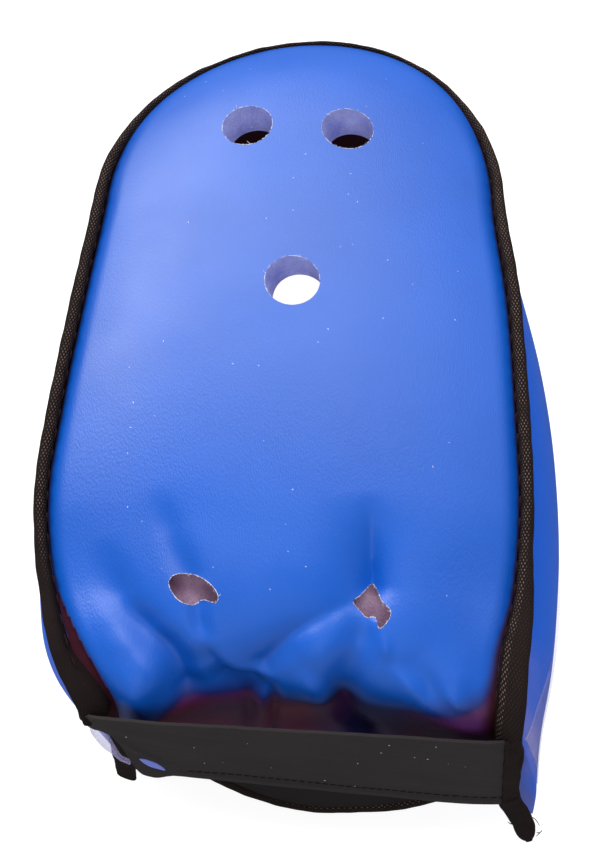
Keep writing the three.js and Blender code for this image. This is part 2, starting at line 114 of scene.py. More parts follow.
# Crown pad by distance s forward of the middle vent
CROWN = table("s slope left right fall_left fall_right drift", [
    (-250, 70, 40, 78, 0, 0, 19),
    (-205, 84, 40, 78, -5, -6, 0),
    (-188, 92, 60, 81, -10, -11, 0),
    (-168, 84, 65, 79, -6, -9, 0),
    (-150, 55, 76.5, 80.5, 5, 2, 0),
    (-125, 28, 88, 86.5, 18, 12, 0),
    (-90, 23, 94.5, 90, 21, 13, 0),
    (-45, 20, 92, 89.5, 21, 13, 0),
    (0, 17, 87.5, 88, 21, 13, 0),
    (50, 12.5, 82.5, 84, 20, 14, 0),
    (100, 8, 82, 83, 19, 15, 2.5),
    (150, 4, 82, 83, 18, 16, 9),
])
ARCH = {"start": 50, "rise": 99.5}
FLAP = {"start": -205, "rise": 43}
END_ANGLE = 86
FOLDED_TO = -72   # the cover is meshed finely from its back end to here

# Folds of the crown cover: the line (s, x) each one follows, its reach on the left and on the right of
# that line, its depths along it, raised where negative, and whether its line is crisp
FOLDS = [
    ("sag behind the band", [(-175, -55), (-195, 7), (-168, 78)], 14, 14, (0, 6, 0), False),
    ("groove above the right vent", [(-86, 30), (-105, 32), (-122, 33)], 4.5, 9, (0, 10), True),
    ("dip above the left vent", [(-85, -50), (-103, -44), (-120, -36)], 5, 5, (0, 1.3, 2.4), False),
    ("notch under the left vent", [(-129, -32), (-137, -31), (-146, -27)], 3, 3, (2.4, 2, 0), False),
    ("valley beside the left plate", [(-104, -70), (-128, -61), (-142, -50), (-151, -42), (-166, -37)],
     6, 7, (0, 3, 6, 7.5, 7), False),
    ("left plate", [(-122, -78), (-140, -65), (-150, -57), (-158, -49), (-166, -43)],
     5, 13, (0, -0.8, -2, -2.8, -1.5), False),
    ("lip over the hollow", [(-143, -32), (-153, -26), (-160, -20), (-163, -12)],
     3, 11, (0, 2.5, 5, 6), False),
    ("crease from the right vent", [(-128, 26), (-132, 18), (-137, 10), (-142, 3), (-154, -7)],
     6, 7, (1, 2.4, 3.6, 4.6, 5.5), True),
    ("swell under that crease", [(-136, 24), (-146, 12), (-152, 4)], 9, 9, (0, -1, 0), False),
    ("valley under the right vent", [(-133, 31), (-144, 28), (-160, 24), (-185, 24)],
     7, 7, (1.5, 3.5, 5, 4.5), False),
    ("line under the right vent", [(-137, 35), (-145, 37), (-152, 39)], 2.5, 2.5, (-0.8, -1.3, 0), False),
    ("left cheek", [(-150, -62), (-166, -56), (-180, -52)], 11, 11, (0, -4, -3), False),
    ("right cheek", [(-150, 46), (-164, 60), (-174, 68)], 12, 12, (0, -4, -3), False),
    ("upright fold", [(-162, -7), (-176, -7), (-202, -7)], 3.2, 3.2, (0, -2.6, -3), False),
    ("crease left of it", [(-164, -13), (-180, -13), (-205, -13)], 2.4, 2.4, (0, 2, 2), False),
    ("crease right of it", [(-158, -3), (-177, -3), (-205, -3)], 2.4, 2.4, (0, 2, 2), False),
    ("slanting ridge", [(-157, 3), (-166, 13), (-196, 24)], 4, 6, (0, -2.4, -2), False),
    ("valley right of it", [(-153, 17), (-190, 25), (-200, 36)], 4.5, 4.5, (0, 4, 4), False),
    ("ridge towards the corner", [(-153, 38), (-159, 48), (-170, 60)], 2.6, 6, (0, -3, 0), True),
    ("ridge into the corner", [(-156, 54), (-163, 65), (-168, 76)], 2.6, 6, (0, -3.2, -1.5), True),
    ("valley between them", [(-147, 42), (-162, 58), (-168, 72)], 5, 5, (0, 3, 3), False),
]
CRISP = 1.3   # rounding of a crisp fold's line

# Painted shade on the cover, which is also rougher there: maroon behind the band, from a station that varies
# across it, and deep red along its taped edges, by the width given
SHADE = table("x start amount", [
    (-65, -178, 0.95), (-50, -172, 1), (-38, -165, 0.9), (-15, -163, 0.85), (10, -167, 0.9),
    (30, -171, 0.6), (55, -161, 0.75), (72, -156, 0.9), (80, -151, 0.95),
])
SHADE_RUN = 14
EDGE_SHADE = table("s left right", [
    (-170, 6, 7), (-150, 4, 5), (-132, 2, 2.8), (-100, 1, 1), (-60, 0.8, 0.8), (150, 0.6, 0.6),
])
RED_EDGE = 0.7   # the left edge takes the painted-shade lining where its painted shade is this deep

# The cover runs on past the seam at the rear corners: in under the tape on the right, bare on the left
COVER_TUCK = {"right": {"wide": 3, "from": -158, "run": 12}, "left": {"wide": 4, "from": -122, "run": 36}}

# Outlines of the vents, across and along, then place, lean, rake and depth of each punch; the two near
# vents are squeezed shut inside by the folds
VENT_RADIUS = 11.1
VENT_STRETCH = 1.09
ROUND = [(VENT_RADIUS * math.cos(a), VENT_RADIUS * math.sin(a)) for a in circle(40)]
OVAL = [(across, VENT_STRETCH * along) for across, along in ROUND]
KIDNEY = [(-9, 2), (-5.5, -3.5), (0, -5.5), (4, -3.5), (8.5, -4.5), (9.5, -2), (7.5, 1.5), (3.5, 4.5),
          (-1, 6), (-7, 5.5)]
DIAMOND = [(-0.5, 8), (-4.5, 4), (-7.5, 1), (-4.5, -2.5), (-2.5, -4.5), (1, -4.5), (2.5, -8.5), (6, -5),
           (6.5, -1.5), (3.5, 1.5), (2, 4.5)]
VENTS = [
    ("far_left", 79, -23, OVAL, 12, 0, 22),
    ("far_right", 78, 20, OVAL, 12, 0, 22),
    ("middle", 0, -0.6, ROUND, 12, 0, 22),
    ("near_left", -125.5, -34, KIDNEY, -5, -3, 9),
    ("near_right", -129.5, 33, DIAMOND, 4, 0, 8),
]
VENT_ABOVE = 20

# Walls by station p, from the right rear corner (0) round the front (1) to the left rear corner (2)
WALLS = table("p x y bulge", [
    (0, 110, -148, 9),
    (0.15, 105, -98, 17.5),
    (0.35, 103, -22, 22),
    (0.55, 96, 56, 17),
    (0.78, 72, 124, 10),
    (1, 8, 152, 8),
    (1.22, -56, 124, 8),
    (1.45, -78, 56, 9),
    (1.65, -82, -20, 13),
    (1.85, -76, -92, 15),
    (1.93, -73, -113, 15.5),
    (2, -70, -131, 4),
])
REAR_CORNER = -171
ARCH_Q = 0.55
CORNER_TURN = 26
CORNER_RUN = 0.2
TEMPLE_Q = 0.79
TEMPLE_GAP = 0.002
BULGE_RISE = 0.8
# Tapes that hang at the rear corners: the middle of each one's line and the way it faces
REAR_TAPES = {
    "right": [(87.5, -151.2, 85), (89, -152.6, 70), (90.5, -153.4, 52), (93.5, -154.6, 36),
              (101.5, -155.8, 17), (106.3, -159, 2.8)],
    "left": [(-63.5, -143, 81), (-65.4, -141, 56), (-66, -139, 36), (-66.5, -137.5, 18), (-67, -137, 5.5)],
}
REAR_FACING = {"right": (0.2, -0.98, 0), "left": (-0.3, -0.95, 0)}
REAR_SIZE = {"thick": 2.2, "half": 4.7, "right": 12, "left": 3}

# Face mask by distance q from either rear corner: lower and upper edge
MASK = table("q low high", [
    (0.012, 32, 74), (0.2, 31, 71), (0.4, 27, 72), (0.54, 16, 88),
    (0.66, 8, 124), (0.76, 6, 151), (0.87, 5, 163), (1, 5, 164),
])
BREATHER = {"diameter": 9, "spacing": 17, "height": 52, "count": 5, "rows": 2}

# Back band in plan, with its lower and upper edge
BAND = table("x y low high", [
    (-76, -150, 89, 95.5),
    (-71, -154, 90, 99.5),
    (-65, -156, 90, 102),
    (-61.5, -156.6, 85, 102.5),
    (-56.5, -157, 60, 103),
    (-51, -157.5, 54, 103),
    (-41, -158, 57.5, 103),
    (-20, -158, 54.5, 101.5),
    (45, -158.5, 44, 98),
    (83, -157.5, 37.5, 94),
    (88.5, -156, 37, 93.5),
])
STITCH = {"pitch": 8.5, "long": 0.011, "thick": 0.7, "to": 0.66}
HEM_STITCH = {"from": -36, "to": 82, "pitch": 3.1, "long": 2.3, "thick": 0.34}
BAND_HEM = {"tall": 4.2, "proud": 0.7, "from": -48, "run": 14, "step": 0.9}
BAND_SINK = {"deep": 0.9, "from": -70, "to": 90, "run": 30}
BAND_LEAN = {"from": 50, "run": 38, "out": 7.5}   # its right end slants out towards the foot
BAND_PATCH = {"from": 82.8, "to": 88.6, "top": 94.7, "foot": 36.4, "proud": 0.8}

# Folds of the band: from and to (x, z), reach and height
BAND_RIDGES = [
    ("fold above the slit", (-60.5, 86), (-45, 65.5), 2.0, 1.3),
    ("tuck of the slit", (-56, 72), (-44, 60), 2.6, -0.8),
    ("pull from the left end", (-66, 95), (-30, 84), 5.0, 0.7),
    ("pull towards the middle", (-40, 70), (20, 74), 7.0, -0.6),
    ("pull to the right end", (40, 62), (84, 52), 6.0, 0.6),
]

# A sliver of the pad in the band's tuck, and its rings by share of its outline and height
SLIT = {"from": (-54.6, 69), "to": (-45.2, 60.2), "tall": 3.6}
SLIT_RINGS = [(1, -0.5), (1, 0.12), (0.9, 0.3), (0.6, 0.42), (0.25, 0.48)]

# Lint, each kind by its count, its spread two ways, its length and its half thickness
COVER_LINT = {"count": 46, "first": (-140, 125), "second": (-0.82, 0.82),
              "long": (0.25, 0.8), "thick": (0.06, 0.15)}
BAND_LINT = {"count": 16, "first": (-58, 80), "second": (0.1, 0.95),
             "long": (0.25, 0.9), "thick": (0.05, 0.13)}
LINT_ABOVE = 0.08
FIBRES = 260
LOOSE_ENDS = 4

# Rear end of the mask's left arm, round the corner behind the band: plan, lower and upper edge
ARM_END = table("x y low high", [
    (-74.5, -146, 79, 92),
    (-74, -148, 74, 92),
    (-72, -150, 71, 91),
    (-69.5, -151.5, 67, 89),
    (-66.5, -152.5, 64, 78),
    (-63.5, -153.5, 60, 64),
    (-59.5, -154, 57, 59),
])


# Small sums

def smooth(t):
    t = np.clip(t, 0, 1)
    return t * t * (3 - 2 * t)


def lerp(a, b, t):
    return a + (b - a) * t


def unit(vectors):
    return vectors / np.linalg.norm(vectors, axis=-1, keepdims=True)


def stack(*parts):
    return np.stack(np.broadcast_arrays(*parts), axis=-1).astype(float)


def metres(points):
    return (np.asarray(points, float) - FOOT_CENTRE) * 0.001


def curve(knots, values):
    """A smooth curve through values, held level past its ends."""
    secants = np.diff(values) / np.diff(knots)
    slopes = np.concatenate([secants[:1], (secants[:-1] + secants[1:]) / 2, secants[-1:]])

    def at(where):
        t = np.clip(np.asarray(where, float), knots[0], knots[-1])
        i = np.clip(np.searchsorted(knots, t, side="right") - 1, 0, len(knots) - 2)
        wide, rise = knots[i + 1] - knots[i], values[i + 1] - values[i]
        p = (t - knots[i]) / wide
        bend = lerp(slopes[i] * wide - rise, rise - slopes[i + 1] * wide, p)
        return values[i] + p * rise + p * (1 - p) * bend

    return at


def columns(rows, key, names):
    return [curve(rows[key], rows[name]) for name in names.split()]


def travelled(steps):
    """Distance from the start after each step."""
    return np.concatenate([[0], np.cumsum(steps)])


def path_run(points):
    return travelled(np.linalg.norm(np.diff(points, axis=0), axis=1))


def to_segment(a, b, start, end):
    """Share along a segment of its place nearest to (a, b), and the two parts of the way from there."""
    run_a, run_b = end[0] - start[0], end[1] - start[1]
    along = np.clip(((a - start[0]) * run_a + (b - start[1]) * run_b) / (run_a ** 2 + run_b ** 2), 0, 1)
    return along, a - start[0] - along * run_a, b - start[1] - along * run_b


# Crown pad

crown_slope, crown_left, crown_right, fall_left, fall_right, crown_drift = columns(
    CROWN, "s", "slope left right fall_left fall_right drift")


def walk_crest():
    """The middle line of the crown: distance, forward and height."""
    s = np.arange(-256.0, 157.0)
    angle = np.radians(crown_slope((s[:-1] + s[1:]) / 2))
    y, z = travelled(np.cos(angle)), travelled(np.sin(angle))
    home = np.searchsorted(s, 0)
    return s, y - y[home], z - z[home] + CROWN_HEIGHT


CREST_S, CREST_Y, CREST_Z = walk_crest()


def end_share(s):
    arch = (s - ARCH["start"]) / ARCH["rise"]
    flap = (FLAP["start"] - s) / FLAP["rise"]
    return np.maximum(np.maximum(arch, flap), 0)


def side_width(s, x):
    at = np.clip(s, FLAP["start"], ARCH["start"])
    return np.where(x < 0, crown_left(at), crown_right(at))


def half_width(s, x):
    share = np.minimum(end_share(s), 1)
    return side_width(s, x) * np.sqrt(1 - share * share)


def outwardness(s, x):
    return np.minimum(np.hypot(x / side_width(s, x), end_share(s)), 1)


def crown_normal(s):
    angle = np.radians(crown_slope(s))
    return stack(0, -np.sin(angle), np.cos(angle))


def smooth_path(places, names, count):
    """Points of a smooth line through a few places."""
    rows = table("k " + names, [(k, *place) for k, place in enumerate(places)])
    k = np.linspace(0, len(places) - 1, count)
    return np.stack([at(k) for at in columns(rows, "k", names)], axis=-1)


def fold_depth(s, x, path, left, right, depths, crisp):
    """How deep one fold lies at each place."""
    line = smooth_path(path, "s x", 6 * len(path) - 5)
    nearest = np.full(np.shape(s), np.inf)
    side = np.zeros(np.shape(s))
    share = np.zeros(np.shape(s))
    for k, (start, end) in enumerate(zip(line[:-1], line[1:])):
        along, away_s, away_x = to_segment(s, x, start, end)
        away = np.maximum(np.hypot(away_s, away_x), 1e-6)
        run_s, run_x = unit(end - start)
        closer = away < nearest
        nearest = np.where(closer, away, nearest)
        side = np.where(closer, (run_x * away_s - run_s * away_x) / away, side)
        share = np.where(closer, (k + along) / (len(line) - 1), share)
    reach = lerp(right, left, smooth((1 + side) / 2))
    fall = (np.hypot(nearest, CRISP) - CRISP) / reach if crisp else (nearest / reach) ** 2
    step = share * (len(depths) - 1)
    first = np.minimum(step.astype(int), len(depths) - 2)
    depths = np.array(depths, float)
    return lerp(depths[first], depths[first + 1], smooth(step - first)) * np.exp(-fall)


def dent(s, x):
    return sum(fold_depth(s, x, *fold[1:]) for fold in FOLDS)


def crown_point(s, x, depth=0.0):
    """Points of the crown pad, depth measured inwards from its outer face."""
    s, x = np.broadcast_arrays(np.asarray(s, float), np.asarray(x, float))
    out = outwardness(s, x)
    calm = 1 - smooth((out - 0.8) / 0.2)
    to_right = smooth((x / side_width(s, x) + 1) / 2)
    fall = lerp(fall_left(s), fall_right(s), to_right) * out ** EDGE_CURL + dent(s, x) * calm
    middle = stack(x + crown_drift(s), np.interp(s, CREST_S, CREST_Y), np.interp(s, CREST_S, CREST_Z))
    return middle - (fall + depth)[..., None] * crown_normal(s)


def inside_edge(s, x):
    """Distance in from the crown's outline."""
    span = np.where(s < FLAP["start"], FLAP["rise"], side_width(s, x))
    return (1 - outwardness(s, x)) * span


def crown_thickness(s, x):
    swell = smooth((inside_edge(s, x) - SEWN_FLANGE) / SWELL_RUN)
    return lerp(CROWN_EDGE, CROWN_THICK, swell)


def edge_roll(s, x):
    near = 1 - np.clip(inside_edge(s, x) / EDGE_ROLL["wide"], 0, 1)
    front = smooth((s - ARCH["start"]) / (0.7 * ARCH["rise"]))
    return lerp(EDGE_ROLL["deep"], EDGE_ROLL["front"], front) * near ** 2


def cover_point(s, x, above=0.0):
    """Points of the crown's outer face with its rolled edge."""
    s, x = np.broadcast_arrays(np.asarray(s, float), np.asarray(x, float))
    return crown_point(s, x, edge_roll(s, x) - above)


def crown_stations():
    turn = np.radians(np.linspace(0, END_ANGLE, 28))
    flap = FLAP["start"] - FLAP["rise"] * np.sin(turn[::-1])
    folded = np.linspace(FLAP["start"], FOLDED_TO, 112)
    plain = np.linspace(FOLDED_TO, ARCH["start"], 58)
    arch = ARCH["start"] + ARCH["rise"] * np.sin(turn)
    return np.concatenate([flap[:-1], folded, plain[1:], arch[1:]])


# Walls

foot_x, foot_y, wall_bulge = columns(WALLS, "p", "x y bulge")


def wall_side(p):
    return np.where(np.asarray(p) < 1, 1.0, -1.0)


def wall_station(p):
    p = np.asarray(p, float)
    return np.where(p < 1, p, 2 - p)


def seam(p, depth):
    """The seam under the crown's edge: station, place and the way out from it in plan."""
    q, side = wall_station(p), wall_side(p)
    straight = q < ARCH_Q
    angle = np.clip((q - ARCH_Q) / (1 - ARCH_Q), 0, 1) * math.pi / 2
    s = np.where(straight, lerp(REAR_CORNER, ARCH["start"], q / ARCH_Q),
                 ARCH["start"] + ARCH["rise"] * np.sin(angle))
    wide = side_width(np.full_like(s, ARCH["start"]), side)
    x = side * np.where(straight, half_width(s, side), wide * np.cos(angle))
    turn = math.radians(CORNER_TURN) * (1 - smooth(q / CORNER_RUN))
    out_straight = stack(side * np.cos(turn), -np.sin(turn), 0)
    out_arch = unit(stack(side * np.cos(angle) / wide, np.sin(angle) / ARCH["rise"], 0))
    out = np.where(straight[..., None], out_straight, out_arch)
    return s, crown_point(s, x, depth), out


def wall_point(p, t, depth=0.0):
    """Points of the walls: t runs from the seam (0) to the floor (1)."""
    p, t, depth = np.broadcast_arrays(*(np.asarray(v, float) for v in (p, t, depth)))
    _, top, out = seam(p, CROWN_EDGE + SEAM_GAP)
    stand = stack(foot_x(p), foot_y(p), 0)
    bulge = wall_bulge(p) * np.sin(math.pi * t ** BULGE_RISE)
    return lerp(top, stand, t[..., None]) + (bulge - depth)[..., None] * out


def wall_thickness(t, share):
    full = np.minimum(share, 1 - share) / WALL_END_RUN
    broad = lerp(WALL_END, WALL_THICK, smooth(full))
    bottom = lerp(0.75, 1, smooth((1 - t) / 0.08))
    return lerp(WALL_TOP, broad, smooth(t / 0.22)) * bottom


# Meshes

def grid_faces(index):
    a, b, c, d = index[:-1, :-1], index[:-1, 1:], index[1:, 1:], index[1:, :-1]
    return np.stack([a, b, c, d], axis=-1).reshape(-1, 4)


def slab(outer, inner):
    """Points and faces of a closed wall between two grids of points."""
    rows, wide = outer.shape[:2]
    top = np.arange(rows * wide).reshape(rows, wide)
    under = top + top.size
    rims = [
        np.stack([top[:, 0], under[:, 0]], 1),
        np.stack([under[:, -1], top[:, -1]], 1),
        np.stack([under[0], top[0]], 1),
        np.stack([top[-1], under[-1]], 1),
    ]
    faces = [grid_faces(top), grid_faces(under)[:, ::-1]]
    faces += [grid_faces(rim)[:, ::-1] for rim in rims]
    return np.concatenate([outer.reshape(-1, 3), inner.reshape(-1, 3)]), np.concatenate(faces)


def shade_inside(piece, shape, slot):
    """Gives a slab's inner face the material in another slot, the dark lining of painted shade."""
    rows, wide = shape[0] - 1, shape[1] - 1
    slots = np.zeros(len(piece.data.polygons), np.int32)
    inner = slots[rows * wide:2 * rows * wide].reshape(rows, wide)
    inner[INNER_SHADE_FROM:-INNER_SHADE_FROM] = slot
    piece.data.polygons.foreach_set("material_index", slots)


def tube(rings):
    """Points and faces of a closed tube through rings of points."""
    count, around = rings.shape[:2]
    index = np.arange(count * around).reshape(count, around)
    here, beside = index, np.roll(index, -1, axis=1)
    sides = np.stack([here[:-1], here[1:], beside[1:], beside[:-1]], axis=-1).reshape(-1, 4)
    caps = [index[0].tolist(), index[-1][::-1].tolist()]
    return rings.reshape(-1, 3), sides.tolist() + caps


def slab_uv(along, across):
    """A map of a slab's outer and inner face."""
    return np.tile(np.stack(np.broadcast_arrays(along, across), axis=-1).reshape(-1, 2), (2, 1))


def show(name, data):
    thing = bpy.data.objects.new(name, data)
    bpy.context.scene.collection.objects.link(thing)
    return thing


def new_piece(name, points, faces, materials, uv=None, sharp=40):
    """A mesh piece of the headgear from points in the layout."""
    mesh = bpy.data.meshes.new(name)
    mesh.from_pydata(metres(points).tolist(), [], [list(face) for face in faces])
    if uv is not None:
        layer = mesh.uv_layers.new(name="lay")
        corner = np.zeros(len(mesh.loops), np.int32)
        mesh.loops.foreach_get("vertex_index", corner)
        layer.data.foreach_set("uv", np.asarray(uv, np.float32)[corner].ravel())
    for material in materials:
        mesh.materials.append(material)
    mesh.shade_smooth()
    mesh.set_sharp_from_angle(angle=math.radians(sharp))
    return show(name, mesh)


def place(piece, slot, *nodes):
    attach(piece, BODY)
    if nodes:
        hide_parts(*nodes)


def bake_modifiers(piece):
    """Applies the modifiers of a piece to its mesh."""
    graph = bpy.context.evaluated_depsgraph_get()
    mesh = bpy.data.meshes.new_from_object(piece.evaluated_get(graph))
    piece.modifiers.clear()
    piece.data = mesh


def soften(piece, width, segments):
    """Rounds the sharp edges of a piece."""
    edge = piece.modifiers.new("soft_edge", "BEVEL")
    edge.width = width
    edge.segments = segments
    edge.limit_method = "ANGLE"
    edge.angle_limit = math.radians(50)
    bake_modifiers(piece)
    piece.data.shade_smooth()


def punch(piece, cutters):
    for cutter in cutters:
        cut = piece.modifiers.new("punch", "BOOLEAN")
        cut.operation = "DIFFERENCE"
        cut.solver = "EXACT"
        cut.object = cutter
    bake_modifiers(piece)
    for cutter in cutters:
        bpy.data.objects.remove(cutter)


# Materials

class Nodes:
    """Nodes of a material or of the world, made in the order they are used."""

    def __init__(self, owner, shader="Principled BSDF"):
        owner.use_nodes = True
        self.owner = owner
        self.tree = owner.node_tree
        self.shader = self.tree.nodes[shader]

    def set(self, **values):
        for name, value in values.items():
            self.shader.inputs[name.replace("_", " ")].default_value = value

    def link(self, socket, name):
        self.tree.links.new(socket, self.shader.inputs[name])

    def add(self, kind, settings=None, **inputs):
        """Outputs of a new node, its inputs given by name, or by number as i0; None is the place."""
        node = self.tree.nodes.new(kind)
        for name, value in (settings or {}).items():
            setattr(node, name, value)
        for name, value in inputs.items():
            numbered = name[0] == "i" and name[1:].isdigit()
            socket = node.inputs[int(name[1:]) if numbered else name]
            value = self.place() if value is None else value
            if isinstance(value, bpy.types.NodeSocket):
                self.tree.links.new(value, socket)
            else:
                socket.default_value = value
        return node.outputs

    def math(self, operation, a, b=0.0):
        return self.add("ShaderNodeMath", {"operation": operation}, i0=a, i1=b)[0]

    def place(self):
        return self.add("ShaderNodeTexCoord")["Object"]

    def axes(self, vector=None):
        return self.add("ShaderNodeSeparateXYZ", Vector=vector)

    def lay(self):
        return self.axes(self.add("ShaderNodeUVMap", {"uv_map": "lay"})[0])

    def stretched(self, scale, turn):
        return self.add("ShaderNodeMapping", Vector=None, Scale=scale, Rotation=turn)[0]

    def noise(self, scale, detail, vector=None):
        return self.add("ShaderNodeTexNoise", Vector=vector, Scale=scale, Detail=detail)["Fac"]

    def cells(self, scale, vector=None):
        return self.add("ShaderNodeTexVoronoi", Vector=vector, Scale=scale)["Distance"]

    def ramp(self, value, low, high, to_low=0.0, to_high=1.0):
        return self.add("ShaderNodeMapRange", i0=value, i1=low, i2=high, i3=to_low, i4=to_high)[0]

    def mix(self, share, *colours):
        first, second = (c if isinstance(c, bpy.types.NodeSocket) else (*c, 1) for c in colours)
        return self.add("ShaderNodeMix", {"data_type": "RGBA"}, Factor=share, i6=first, i7=second)[2]

    def bump(self, height, strength, deep, under=None):
        over = {} if under is None else {"Normal": under}
        return self.add("ShaderNodeBump", Height=height, Strength=strength, Distance=deep, **over)[0]

    def wave(self, value, period):
        return self.math("SINE", self.math("MULTIPLY", value, 2 * math.pi / period))


# Colours of painted shade: DUSK and MAROON where the vinyl is hidden, DEEP_RED along the crown's taped
# edges; MILKY is a painted reflection of the floor
DUSK = (0.012, 0.018, 0.15)
MILKY = (0.2, 0.18, 0.48)
MAROON = (0.24, 0.02, 0.07)
DEEP_RED = (0.03, 0.0015, 0.005)
ELASTIC_TONES = ((0.0185, 0.0155, 0.0165), (0.0265, 0.0228, 0.0238), (0.036, 0.0315, 0.0325))


def material(name):
    return Nodes(bpy.data.materials.new(name))


def plain_material(name, scale, detail, dark, light, nap=0.0, **values):
    """One colour that varies a little, with a nap where one is given."""
    nodes = material(name)
    nodes.link(nodes.mix(nodes.noise(scale, detail), dark, light), "Base Color")
    if nap:
        nodes.link(nodes.bump(nodes.noise(1600, 2), nap, 0.0002), "Normal")
    nodes.set(**values)
    return nodes.owner


def vinyl(name, gloss, dark=(0.001, 0.075, 0.43), light=(0.0026, 0.09, 0.49), lay=False, milky=0.0):
    """Grained vinyl with painted shade, dusky and then maroon where ambient occlusion finds it hidden or,
    with lay, where its map says so.
    """
    nodes = material(name)
    colour = nodes.mix(nodes.ramp(nodes.noise(14, 4), 0.35, 0.65), dark, light)
    colour = nodes.mix(nodes.ramp(nodes.noise(260, 2), 0.45, 0.8, 0, 0.2), colour, (0.003, 0.1, 0.52))
    shaded_by = {"samples": 8, "only_local": not lay}
    # Painted shade follows ambient occlusion
    open_sky = nodes.add("ShaderNodeAmbientOcclusion", shaded_by, Distance=0.05)["AO"]
    hidden = nodes.ramp(open_sky, 0.1, 0.36, 0.4, 0)
    if lay:
        low, edge, _ = nodes.lay()
        low = nodes.math("MULTIPLY", low, nodes.ramp(nodes.noise(30, 3), 0.3, 0.7, 0.7, 1.1))
        hidden = nodes.math("MAXIMUM", hidden, low)
    # Painted reflection of the floor: pale streaks towards the rear
    if milky:
        streaks = nodes.noise(22, 2, nodes.stretched((1, 3, 1), (0.6, 0, 0)))
        rear = nodes.ramp(nodes.axes()[1], -0.135, -0.11, milky, 0)
        rear = nodes.math("MULTIPLY", nodes.ramp(streaks, 0.38, 0.62, 0.3, 1), rear)
        colour = nodes.mix(rear, colour, MILKY)
    # Painted shade: dusky, then maroon where more hidden
    colour = nodes.mix(nodes.ramp(hidden, 0, 0.5), colour, DUSK)
    colour = nodes.mix(nodes.ramp(hidden, 0.45, 1), colour, MAROON)
    if lay:
        # Painted shade: deep red along the taped edges
        colour = nodes.mix(edge, colour, DEEP_RED)
        hidden = nodes.math("MAXIMUM", hidden, edge)
    nodes.link(colour, "Base Color")
    dull = nodes.ramp(nodes.noise(35, 3), 0.3, 0.7, 0.31, 0.4)
    nodes.link(nodes.math("ADD", dull, nodes.math("MULTIPLY", hidden, 0.35)), "Roughness")
    grain = nodes.cells(1050, nodes.stretched((1.7, 0.8, 1), (0, 0, 0.5)))
    grain = nodes.bump(grain, 0.3, 0.0002)
    nodes.link(nodes.bump(nodes.noise(3200, 2), 0.1, 0.00008, grain), "Normal")
    nodes.set(Specular_IOR_Level=gloss)
    return nodes.owner


def foam():
    """Cut foam: bluish at the front, a painted reflection of the blue cover, and mauve in the squeezed vents
    at the back, painted shade.
    """
    nodes = material("raw_foam")
    cells = nodes.cells(900)
    # Painted light: reflection in front, shade at the back
    forward = nodes.ramp(nodes.axes()[1], -0.09, -0.02)
    tint = nodes.mix(forward, (0.26, 0.155, 0.25), (0.29, 0.33, 0.72))
    pale = nodes.mix(forward, (0.43, 0.31, 0.42), (0.47, 0.5, 0.85))
    tint = nodes.mix(nodes.ramp(nodes.noise(120, 3), 0.3, 0.7), tint, pale)
    nodes.link(nodes.mix(nodes.ramp(cells, 0, 0.5, 0.4, 0), tint, (0.22, 0.12, 0.24)), "Base Color")
    nodes.link(nodes.bump(cells, 0.6, 0.0004), "Normal")
    nodes.set(Roughness=0.95, Specular_IOR_Level=0.1)
    return nodes.owner


def woven_tape():
    """Tape with painted glints: pale specks on its raised weave along its top edge, where it catches the
    light, but none at the left rear corner.
    """
    nodes = material("black_tape")
    along, across, _ = nodes.lay()
    weave = nodes.math("MULTIPLY", nodes.wave(along, TAPE_WEAVE[0]), nodes.wave(across, TAPE_WEAVE[1]))
    right, forward, _ = nodes.axes()
    wide = nodes.ramp(forward, -0.125, -0.07, 1.3, 2.8)
    bare = nodes.math("DIVIDE", nodes.math("ABSOLUTE", across), wide)
    patchy = nodes.ramp(nodes.noise(170, 3), 0.3, 0.6, 0.3, 1)
    # Painted glints on the raised weave
    painted_light = nodes.math("MULTIPLY", nodes.ramp(weave, 0.35, 0.9), patchy)
    kept = nodes.math("MAXIMUM", nodes.ramp(right, -0.02, 0.02), nodes.ramp(forward, -0.11, -0.08))
    kept = nodes.math("MULTIPLY", kept, nodes.ramp(bare, 0.85, 1.3, 1, 0.1))
    painted_light = nodes.math("MULTIPLY", painted_light, kept)
    dark = nodes.mix(nodes.noise(60, 3), (0.0075, 0.0045, 0.0045), (0.0125, 0.0078, 0.0075))
    nodes.link(nodes.mix(painted_light, dark, (0.17, 0.12, 0.095)), "Base Color")
    relief = nodes.bump(nodes.ramp(weave, -1, 1), 0.45, 0.00035)
    nodes.link(nodes.bump(nodes.noise(4200, 2), 0.2, 0.0001, relief), "Normal")
    nodes.set(Roughness=0.9, Specular_IOR_Level=0.12)
    return nodes.owner


def elastic(name, painted_light):
    """Ribbed cloth, its tones scaled by the second number; below 1 the copy is darker, painted shade."""
    nodes = material(name)
    along, across, _ = nodes.lay()
    knit = nodes.math("MULTIPLY", nodes.wave(across, 1.1), nodes.wave(along, 0.8))
    knit = nodes.ramp(knit, -1, 1)
    black, grey, pale = (painted_light * np.array(tone) for tone in ELASTIC_TONES)
    tint = nodes.mix(nodes.noise(26, 4), black, grey)
    nodes.link(nodes.mix(nodes.ramp(knit, 0.5, 1, 0, 0.25), tint, pale), "Base Color")
    nodes.link(nodes.bump(nodes.noise(3000, 2), 0.25, 0.0001, nodes.bump(knit, 0.2, 0.00015)), "Normal")
    nodes.set(Roughness=0.88, Specular_IOR_Level=0.14)
    return nodes.owner


